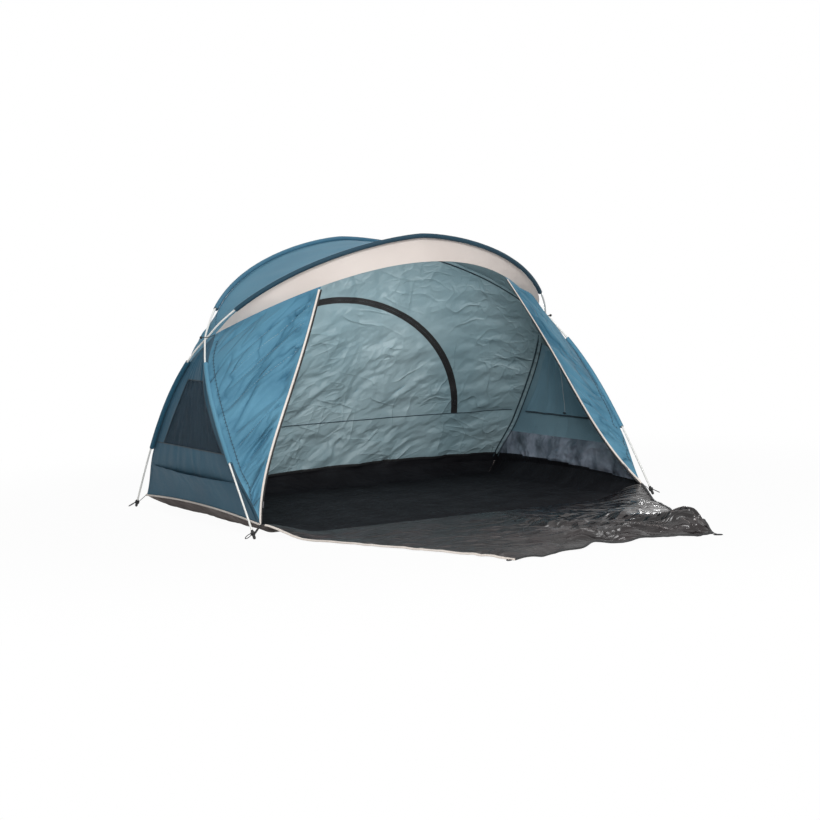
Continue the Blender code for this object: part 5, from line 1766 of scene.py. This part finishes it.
@dataclass
class RearWall:
    """Rear wall, the half-round door in it and the broad zip round the door."""

    columns: int = 332
    rows: int = 190
    door_cut: Triple = (1.34, 0.64, 0.66)
    band: float = 0.0155
    band_gap: float = 0.0006
    band_thick: float = 0.0026
    band_cells: int = 3
    band_run: float = 2.2
    arc_steps: int = 240
    blend_start: Triple = (0.0, 0.6, 0.335)
    blend_end: Triple = (0.0, 0.6, 0.47)

    def split(self, surface: RearWallSurface) -> tuple[Array, list, list, Array]:
        """Grid whose lines follow the door's outline.

        Args:
            surface: The wall.

        Returns:
            Points, faces of the wall, faces of the door and flat places.
        """
        u, v = surface.shares(self.columns, self.rows)
        depth = surface.depth(surface.at(u, v))
        move = np.full(u.shape, 1.0)
        shift_u = np.zeros_like(u)
        shift_v = np.zeros_like(v)
        for axis in (0, 1):
            first = depth[:-1] if axis == 0 else depth[:, :-1]
            second = depth[1:] if axis == 0 else depth[:, 1:]
            for i, j in zip(*np.nonzero(first * second < 0)):
                share = first[i, j] / (first[i, j] - second[i, j])
                low = share < 0.5
                place = (i, j) if low else ((i + 1, j) if axis == 0 else (i, j + 1))
                amount = share if low else share - 1
                if abs(amount) < move[place]:
                    move[place] = abs(amount)
                    shift_u[place] = amount / self.columns if axis == 1 else 0.0
                    shift_v[place] = amount / self.rows if axis == 0 else 0.0
        on = move < 1.0
        u = u + shift_u
        v = v + shift_v
        sign = np.where(on, 0, np.sign(depth)).ravel()
        wall, door = [], []
        for face in grid_faces(self.rows + 1, self.columns + 1, surface.flipped):
            signs = [sign[k] for k in face]
            if min(signs) < 0 < max(signs):
                turn = 0 if signs[0] == 0 else 1
                a, b, c, d = (face[(k + turn) % 4] for k in range(4))
                for part in ((a, b, c), (a, c, d)):
                    (wall if sum(sign[k] for k in part) > 0 else door).append(part)
            else:
                (door if min(signs) < 0 else wall).append(face)
        flat = np.stack([u * FORM.floor_width, v * FORM.cross], axis=-1)
        return surface.draped(u, v), wall, door, flat

    def arc(self, surface: RearWallSurface, grown: float) -> Line:
        """Shares along the door's round edge, grown by a distance."""
        centre, radius = surface.circle
        radius += grown
        start = math.asin((FORM.seam_height - centre) / radius)
        angle = np.linspace(math.pi - start, start, self.arc_steps)
        return surface.locate(radius * np.cos(angle), centre + radius * np.sin(angle))

    def half_band(self, surface: RearWallSurface, name: str, low: float, high: float) -> Piece:
        """Build one half of the zip band.

        Args:
            surface: The wall.
            name: Name of the piece.
            low: Its inner edge, from the door's outline.
            high: Its outer edge.

        Returns:
            The band.
        """
        widths = np.linspace(0, high - low, self.band_cells + 1)
        lines = [self.arc(surface, low + width) for width in widths]
        points = np.stack([surface.draped(u, v) for u, v in lines])
        normals = np.stack([surface.normal(u, v) for u, v in lines])
        faces = grid_faces(len(widths), self.arc_steps, False)
        raw = np.cross(points[0, 1] - points[0, 0], points[1, 0] - points[0, 0])
        if np.dot(raw, normals[0, 0]) < 0:
            faces = [face[::-1] for face in faces]
        flat = np.stack(np.meshgrid(np.linspace(0, self.band_run, self.arc_steps), widths), axis=-1)
        return add_shell(name, points, faces, normals, self.band_thick, [Finish.ZIP], 0, 0, flat)

    def build(self) -> None:
        """Build the wall, the door and the band."""
        surface = RearWallSurface()
        points, wall, door, flat = self.split(surface)
        normals = grid_normals(points, surface.flipped)
        tray = (points[..., 2] < FORM.tray_edge(0, points[..., 0] / FORM.floor_width)).ravel()
        inner, plastic = 1, 2
        wall_piece = add_shell("rear_wall_cloth", points, wall, normals, surface.thickness,
                               [Finish.SHELL, Finish.LINING, Finish.FLOOR], 0,
                               [plastic if tray[face[0]] else inner for face in wall], flat)
        finish_piece(wall_piece, "root", ["rear_wall"])
        width, length, area = surface.flat_size()
        declare(wall_piece, (width, length, area - self.door_cut[2]))
        door_piece = add_shell("rear_door_cloth", points, door, normals, surface.thickness,
                               [Finish.SHELL, Finish.LINING], 0, inner, flat)
        inner_tape = self.half_band(surface, "rear_zip_inner_tape", -self.band, -self.band_gap)
        outer_tape = self.half_band(surface, "rear_zip_outer_tape", self.band_gap, self.band)
        finish_piece(outer_tape, "root", ["rear_door_zip"])
        ends = (self.blend_start, self.blend_end)
        finish_piece(door_piece, "rear_door", ["rear_door"], ends)
        finish_piece(inner_tape, "rear_door", (), ends)
        declare(door_piece, self.door_cut)


@dataclass
class Ground:
    """Groundsheet and porch apron."""

    floor_columns: int = 230
    floor_rows: int = 160
    apron_columns: int = 260
    apron_rows: int = 190
    trim_half: float = 0.0058
    trim_half_thick: float = 0.0044
    blend_start: Triple = (0.0, -0.70, 0.0)
    blend_end: Triple = (0.0, -0.82, 0.0)

    def build(self) -> None:
        """Build the floor and the apron with its piping."""
        floor = FloorSurface()
        piece = panel(floor, "groundsheet_tray", self.floor_columns, self.floor_rows,
                      [Finish.FLOOR, Finish.UNDERSIDE])
        finish_piece(piece, "root", ["groundsheet"])
        declare(piece, floor.flat_size())
        apron = ApronSurface()
        piece = panel(apron, "porch_apron_sheet", self.apron_columns, self.apron_rows,
                      [Finish.APRON, Finish.UNDERSIDE])
        ends = (self.blend_start, self.blend_end)
        finish_piece(piece, "porch", ["porch_apron"], ends)
        declare(piece, apron.flat_size())
        down = np.linspace(0.02, 1, 220)
        over = np.linspace(0, 1, 200)
        for name, line, finish in (
                ("apron_piping_left", (0.0, down), Finish.PIPING),
                ("apron_binding_right", (1.0, down), Finish.ZIP),
                ("apron_binding_front", (over, 1.0), Finish.ZIP)):
            trim = Binding(name, apron, line, self.trim_half, self.trim_half_thick, finish).build()
            finish_piece(trim, "porch", (), ends)


@dataclass
class PegTabs:
    """Webbing tabs between the apron's outer corners and their peg loops."""

    half_width: float = 0.006
    half_thick: float = 0.0011
    sides: int = 8
    steps: int = 12
    corner: tuple[float, float] = (0.49, 0.985)

    def build(self) -> None:
        """Build both tabs."""
        apron = ApronSurface()
        for side, word in SIDES:
            low, high = (np.array(corner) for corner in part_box(f"apron_peg_loop_{word}"))
            loop = (low + high) / 2
            start = apron.draped(0.5 + side * self.corner[0], self.corner[1])
            path = mixed(start, loop, np.linspace(0, 1, self.steps))
            rings = rings_along(path, self.sides, self.half_width, self.half_thick)
            finish_piece(add_tube(f"apron_tab_{word}", rings, Finish.TRIM), "porch")


@dataclass
class WallPiping:
    """Cream piping round the foot of the walls."""

    radius: float = 0.0042
    steps: int = 180

    def build(self) -> None:
        """Build the piping of the side walls and the rear wall."""
        foot = (np.linspace(0, 1, self.steps), 0.0)
        walls = {word: SideWallSurface(side) for side, word in SIDES} | {"rear": RearWallSurface()}
        for word, surface in walls.items():
            piping = Binding(f"wall_foot_piping_{word}", surface, foot, self.radius, self.radius,
                             Finish.PIPING, self.radius)
            finish_piece(piping.build(), "root")


class RowShape(Enum):
    """Small shape that a row repeats."""

    STITCH = "stitch"
    TOOTH = "tooth"


@dataclass(frozen=True)
class RowSizes:
    """One kind of row, with its sizes in metres."""

    shape: RowShape
    finish: Finish
    spacing: float
    long: float
    wide: float
    high: float


SEWN = RowSizes(RowShape.STITCH, Finish.THREAD, 0.0052, 0.0036, 0.0007, 0.0006)
# Rows of dark puckers that stand for the shade in the seams' folds: painted shade.
PUCKER = RowSizes(RowShape.STITCH, Finish.PUCKER_PAINTED_SHADE, 0.019, 0.0036, 0.015, 0.0024)
DOOR_TEETH = RowSizes(RowShape.TOOTH, Finish.ZIP, 0.0021, 0.0013, 0.0042, 0.0024)
ARC_TEETH = RowSizes(RowShape.TOOTH, Finish.ZIP, 0.0024, 0.0015, 0.0052, 0.0038)


class RowTree(Tree):
    """Geometry Nodes tree that repeats a small shape along lines."""

    def __init__(self, sizes: RowSizes) -> None:
        """Build the tree.

        Args:
            sizes: The kind of row.
        """
        super().__init__(bpy.data.node_groups.new(f"{sizes.shape.value}_row", "GeometryNodeTree"))
        self.sizes = sizes
        face = self.tree.interface
        face.new_socket("Lines", in_out="INPUT", socket_type="NodeSocketGeometry")
        self.keys = {name: face.new_socket(name, in_out="INPUT", socket_type="NodeSocketFloat").identifier
                     for name in ("Spacing", "Long", "Wide", "High")}
        face.new_socket("Row", in_out="OUTPUT", socket_type="NodeSocketGeometry")
        entry = self.node("NodeGroupInput", output="Lines")
        curve = self.node("GeometryNodeMeshToCurve", inputs={"Mesh": entry})
        spots = self.node("GeometryNodeCurveToPoints", {"mode": "LENGTH"},
                          {"Curve": curve, "Length": entry.other("Spacing")}, "Points")
        outward = self.node("GeometryNodeInputNamedAttribute", {"data_type": "FLOAT_VECTOR"},
                            {"Name": "outward"})
        turned = self.node("FunctionNodeAlignRotationToVector", {"axis": "X"},
                           {"Vector": spots.other("Tangent")})
        upright = self.node("FunctionNodeAlignRotationToVector", {"axis": "Z", "pivot_axis": "X"},
                            {"Rotation": turned, "Vector": outward})
        scale = self.node("ShaderNodeCombineXYZ", inputs={
            0: entry.other("Long"), 1: entry.other("Wide"), 2: entry.other("High")})
        if sizes.shape is RowShape.STITCH:
            shape = self.node("GeometryNodeMeshUVSphere", inputs={"Segments": 6, "Rings": 4, "Radius": 0.5})
        else:
            shape = self.node("GeometryNodeMeshCube", inputs={"Size": (1.0, 1.0, 1.0)})
        set_out = self.node("GeometryNodeInstanceOnPoints", inputs={
            "Points": spots, "Instance": shape, "Rotation": upright, "Scale": scale})
        real = self.node("GeometryNodeRealizeInstances", inputs={0: set_out})
        self.end("NodeGroupOutput", self.node("GeometryNodeSetMaterial", inputs={
            "Geometry": real, "Material": material_of(sizes.finish)}))

    def bake(self, name: str, lines: Sequence[Line]) -> Piece:
        """Repeat the shape along lines and keep the result as a plain mesh.

        Args:
            name: Name of the piece.
            lines: Points and outward normals of each line.

        Returns:
            The piece.
        """
        points = np.concatenate([path for path, _ in lines])
        outward = np.concatenate([normals for _, normals in lines])
        edges = []
        start = 0
        for path, _ in lines:
            edges += [(start + k, start + k + 1) for k in range(len(path) - 1)]
            start += len(path)
        mesh = bpy.data.meshes.new(name)
        mesh.from_pydata([tuple(p) for p in points], edges, [])
        layer = mesh.attributes.new("outward", "FLOAT_VECTOR", "POINT")
        layer.data.foreach_set("vector", outward.astype(np.float32).ravel())
        obj = linked(name, mesh)
        modifier = obj.modifiers.new("row", "NODES")
        modifier.node_group = self.tree
        for key, socket in self.keys.items():
            modifier[socket] = getattr(self.sizes, key.lower())
        bpy.context.view_layer.update()
        plain = bpy.data.meshes.new_from_object(obj.evaluated_get(bpy.context.evaluated_depsgraph_get()))
        obj.modifiers.clear()
        obj.data = plain
        return obj


@dataclass
class Seams:
    """Taped seams and the lines where they run."""

    steps: int = 400
    half_width: float = 0.004
    half_thick: float = 0.0008
    off: float = 0.001
    inner_off: float = 0.0021
    strip: float = 0.02
    thin: float = 0.6
    thinnest: float = 0.3
    rear_shares: ClassVar[dict[str, float]] = {"middle": 0.6, "tray": 1.7}

    def row(self, low: float = 0.02, high: float = 0.98) -> Array:
        """Even shares from one end of a line to the other."""
        return np.linspace(low, high, self.steps)

    def rear_lines(self) -> dict[str, Line]:
        """Shares of the rear wall's seams."""
        surface = RearWallSurface()
        reach = 0.965 * FORM.seam(np.array(FORM.window[0]))[0]
        x = self.row(-reach, reach)
        up = self.row(0.03, 0.93)
        low = self.row(-0.99, 0.99) * FORM.corner[0]
        return {"middle": surface.locate(x, FORM.seam_height),
                "tray": surface.locate(low, FORM.tray_edge(0, low / FORM.floor_width) + self.half_thick),
                "right": (0.99, up),
                "left": (0.01, up),
                "arch": (self.row(0.03, 0.97), 0.985)}

    def wall_lines(self, surface: SideWallSurface) -> dict[str, Line]:
        """Shares of a side wall's seams and window borders."""
        low, high = FORM.window_span
        up = np.linspace(low, high, self.steps)
        front, back = surface.window_shares(up)
        return {"middle": (self.row(), low),
                "window_front": (front, up),
                "window_back": (back, up),
                "window_top": (np.linspace(front[-1], back[-1], self.steps), high),
                "back": (0.985, self.row(0.03, 0.9)),
                "front": (0.015, self.row(0.03, 0.9))}

    def leg_line(self) -> Line:
        """Shares of the seam beside a front leg, on the corner panel."""
        up = self.row(0.12, 0.95)
        return self.strip / (FrontPanelSurface.foot_width + FrontPanelSurface.top_width * up), up

    def tape(self, name: str, surface: Surface, line: Line, inside: bool, share: float = 1.0) -> None:
        """Lay one dark tape on the outside or the inside of a surface."""
        off = -self.inner_off if inside else self.off
        finish = Finish.ZIP if name.endswith("tray") else Finish.SEAM
        strip = Binding(name, surface, line, self.half_width * share, self.half_thick, finish, off)
        finish_piece(strip.build(), "root")

    def build(self) -> None:
        """Lay the tapes."""
        rear = RearWallSurface()
        for word, line in self.rear_lines().items():
            self.tape(f"rear_seam_tape_{word}", rear, line, True, self.rear_shares.get(word, 1.0))
        for side, word in SIDES:
            surface = SideWallSurface(side)
            for place, line in self.wall_lines(surface).items():
                inside = place in ("back", "front")
                share = 1.0 if inside else self.thin
                self.tape(f"wall_seam_tape_{place}_{word}", surface, line, inside, share)
            self.tape(f"leg_seam_tape_{word}", FrontPanelSurface(side), self.leg_line(), False, self.thinnest)


@dataclass
class Sewing:
    """Stitches and zip teeth."""

    seams: Seams
    off: float = 0.0011
    tape_edge: float = 0.0062
    tape_off: float = 0.0008
    pucker_off: float = 0.0004
    pucker_share: float = 0.968
    pocket_hem: float = 0.97
    edge_share: float = 0.97
    roof_rows: tuple[float, ...] = (0.022, 0.04, 0.96, 0.978)

    def roof_lines(self) -> list[Line]:
        """Stitches along both roof sleeves."""
        surface = RoofSurface()
        u = self.seams.row(0.03, 0.97)
        return [line_on(surface, (u, v), self.off) for v in self.roof_rows]

    def panel_lines(self) -> list[Line]:
        """Stitches beside the front legs and down the bound door edges."""
        lines = []
        for side, _ in SIDES:
            surface = FrontPanelSurface(side)
            u, up = self.seams.leg_line()
            lines.append(line_on(surface, (u * 0.75, up), self.off))
            lines.append(line_on(surface, (self.edge_share, self.seams.row(0.02, 0.97)), self.off))
        return lines

    def wall_lines(self) -> list[Line]:
        """Stitches round the windows, on the mid seams and along the pockets' mouths."""
        lines = []
        for side, _ in SIDES:
            surface = SideWallSurface(side)
            for line in self.seams.wall_lines(surface).values():
                lines.append(line_on(surface, line, self.off + self.tape_off))
            lines.append(line_on(PocketSurface(side), (self.seams.row(), self.pocket_hem), self.off))
        return lines

    def build(self) -> None:
        """Sew and set the teeth."""
        tree = RowTree(SEWN)
        for name, lines in (("roof_stitches", self.roof_lines()),
                            ("corner_panel_stitches", self.panel_lines()),
                            ("side_wall_stitches", self.wall_lines())):
            finish_piece(tree.bake(name, lines), "root")
        # Dark puckers along the rear sleeve seam and beside the front legs: painted shade.
        arch = line_on(RoofSurface(), (self.seams.row(0.03, 0.97), self.pucker_share), self.pucker_off)
        legs = [line_on(FrontPanelSurface(side), self.seams.leg_line(), self.pucker_off) for side, _ in SIDES]
        finish_piece(RowTree(PUCKER).bake("seam_puckers", [arch, *legs]), "root")
        up = self.seams.row(0.01, 0.985)
        tree = RowTree(DOOR_TEETH)
        for side, word in SIDES:
            edge = line_on(FrontPanelSurface(side), (1.0, up), 0.0, -side * self.tape_edge)
            finish_piece(tree.bake(f"door_zip_teeth_{word}", [edge]), "root")
        surface = RearWallSurface()
        arc = line_on(surface, RearWall().arc(surface, 0.0))
        finish_piece(RowTree(ARC_TEETH).bake("rear_zip_teeth", [arc]), "root")


@dataclass
class WindowTies:
    """Tape and toggle that hold each rolled window cover."""

    half_width: float = 0.0035
    half_thick: float = 0.0006
    tape_off: float = -0.0016
    toggle_half: float = 0.013
    toggle_sides: int = 12
    toggle_rings: int = 9
    toggle_radius: float = 0.0036
    toggle_off: float = -0.0058
    hem_half: float = 0.0035
    hem_half_thick: float = 0.001
    hem_off: float = -0.0008
    hem_share: float = 0.012
    hem_steps: int = 120

    def build(self) -> None:
        """Build both ties."""
        for side, word in SIDES:
            surface = CoverSurface(side)
            down = np.linspace(0.98, 0.06, 60)
            tape = Binding(f"window_tie_tape_{word}", surface, (0.5, down),
                           self.half_width, self.half_thick, Finish.TAPE, self.tape_off)
            finish_piece(tape.build(), f"window_cover_{word}", [f"window_tie_{word}"])
            middle = surface.draped(0.5, 0.05, self.toggle_off)
            across = np.linspace(-1, 1, self.toggle_rings)
            path = middle + np.outer(across * self.toggle_half, np.array([0.0, 1.0, 0.0]))
            thick = self.toggle_radius * np.sqrt(np.maximum(0.04, 1 - across ** 4 * 0.8))
            rings = rings_along(path, self.toggle_sides, thick, thick)
            toggle = add_tube(f"window_toggle_{word}", rings, Finish.TRIM)
            finish_piece(toggle, f"window_cover_{word}")
            edge = (np.linspace(0.01, 0.99, self.hem_steps), self.hem_share)
            hem = Binding(f"window_cover_hem_{word}", surface, edge, self.hem_half, self.hem_half_thick,
                          Finish.SEAM, self.hem_off)
            finish_piece(hem.build(), f"window_cover_{word}")


@dataclass
class Fittings:
    """Small parts that keep their solids and take a finish."""

    def build(self, nodes: dict[str, Piece]) -> None:
        """Dress the nodes that are still shown."""
        rules = (("zip_slider", Finish.METAL), ("zip_pull", Finish.METAL), ("", Finish.TRIM))
        for name, node in nodes.items():
            if node.hide_render:
                continue
            for start, finish in rules:
                if name.startswith(start):
                    node.data.materials.clear()
                    node.data.materials.append(material_of(finish))
                    break


# Studio


@dataclass(frozen=True)
class Lamp:
    """Soft lamp: its middle, the place that it looks at, its width and height, and its watts."""

    name: str
    place: Triple
    target: Triple
    size: tuple[float, float]
    power: float


LAMPS = (Lamp("high_softbox", (-2.1, -4.6, 7.2), (0, 0, 0.5), (3.0, 3.0), 330.0),
         Lamp("low_softbox", (-2.6, -8.1, 1.7), (0, 0, 0.6), (2.6, 2.4), 290.0),
         Lamp("top_softbox", (0.3, -0.3, 6.5), (0, 0, 0.5), (4.0, 4.0), 20.0),
         Lamp("back_softbox", (4.4, 8.6, 1.05), (0, 0, 0.6), (4.4, 1.8), 400.0),
         Lamp("inner_glow", (-0.05, -0.3, 0.95), (-0.02, 0.55, 0.76), (0.6, 0.16), 4.2))


@dataclass
class Studio:
    """Pale floor, soft lamps and the camera."""

    camera_place: Triple = (-4.4371, -8.726, 1.262)
    yaw: float = -27.5882
    pitch: float = -4.899
    roll: float = -2.3037
    focal_pixels: float = 2104.43
    image_pixels: float = 820.0
    sensor: float = 36.0
    floor_size: float = 60.0
    white_from: float = 1.5
    white_to: float = 3.4
    near_white: float = 0.96
    sky: float = 0.16

    def floor(self) -> None:
        """Pale floor that turns plain white away from the tent."""
        graph = Graph("studio_floor")
        reach = graph.node("ShaderNodeVectorMath", {"operation": "LENGTH"}, {0: graph.place()}, "Value")
        far = graph.node("ShaderNodeMapRange", {"interpolation_type": "SMOOTHSTEP"},
                         {"Value": reach, "From Min": self.white_from, "From Max": self.white_to,
                          "To Min": self.near_white, "To Max": 1.0})
        diffuse = graph.node("ShaderNodeBsdfDiffuse", inputs={"Color": (0.7, 0.7, 0.7, 1.0)})
        white = graph.node("ShaderNodeEmission", inputs={"Color": WHITE, "Strength": 1.0})
        seen = far * graph.seen("Is Camera Ray", "Is Glossy Ray")
        half = self.floor_size / 2
        mesh = bpy.data.meshes.new("studio_floor")
        mesh.from_pydata([(-half, -half, 0), (half, -half, 0), (half, half, 0), (-half, half, 0)], [],
                         [(0, 1, 2, 3)])
        mesh.materials.append(graph.close(graph.node("ShaderNodeMixShader", inputs={
            0: seen, 1: diffuse, 2: white})))
        linked("studio_floor", mesh)

    def world(self) -> None:
        """Soft grey light, white where the camera sees it."""
        graph = Graph("studio_world", world=True)
        soft, white = (graph.node("ShaderNodeBackground", inputs={"Color": WHITE, "Strength": strength})
                       for strength in (self.sky, 1.0))
        seen = graph.seen("Is Camera Ray", "Is Glossy Ray", "Is Transmission Ray")
        mix = graph.node("ShaderNodeMixShader", inputs={0: seen, 1: soft, 2: white})
        bpy.context.scene.world = graph.close(mix)

    def lamp(self, lamp: Lamp) -> None:
        """Add a soft lamp.

        Args:
            lamp: Its sizes.
        """
        data = bpy.data.lights.new(lamp.name, "AREA")
        data.shape = "RECTANGLE"
        data.size, data.size_y = lamp.size
        data.energy = lamp.power
        obj = linked(lamp.name, data)
        obj.location = lamp.place
        look = Vector(lamp.target) - Vector(lamp.place)
        obj.rotation_euler = look.to_track_quat("-Z", "Y").to_euler()
        obj.visible_camera = False

    def camera(self) -> None:
        """Camera at the photograph's angle."""
        yaw, pitch, roll = (math.radians(a) for a in (self.yaw, self.pitch, self.roll))
        ahead = Vector((-math.sin(yaw) * math.cos(pitch), math.cos(yaw) * math.cos(pitch), math.sin(pitch)))
        level = Vector((math.cos(yaw), math.sin(yaw), 0))
        above = level.cross(ahead)
        right = level * math.cos(roll) + above * math.sin(roll)
        up = above * math.cos(roll) - level * math.sin(roll)
        data = bpy.data.cameras.new("studio_camera")
        data.sensor_fit = "HORIZONTAL"
        data.sensor_width = self.sensor
        data.lens = self.focal_pixels * self.sensor / self.image_pixels
        data.clip_end = 200.0
        obj = linked("studio_camera", data)
        axes = Matrix((right, up, -ahead)).transposed().to_4x4()
        obj.matrix_world = Matrix.Translation(Vector(self.camera_place)) @ axes
        bpy.context.scene.camera = obj

    def build(self) -> None:
        """Set the stage, the light and the view."""
        self.floor()
        self.world()
        for lamp in LAMPS:
            self.lamp(lamp)
        self.camera()
        bpy.context.scene.view_settings.view_transform = "Standard"


def main() -> None:
    """Build the whole tent and the studio."""
    logging.basicConfig(level=logging.INFO, format="%(name)s %(message)s")
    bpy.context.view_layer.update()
    for assembly in (Roof(), Sleeves(), Poles(), FrontPanels(), SideWalls(), RearWall(), Ground(), PegTabs(),
                     WallPiping(), WindowTies(), Seams(), Sewing(Seams())):
        assembly.build()
    Fittings().build(frame["nodes"])
    Studio().build()


if __name__ == "__main__":
    main()
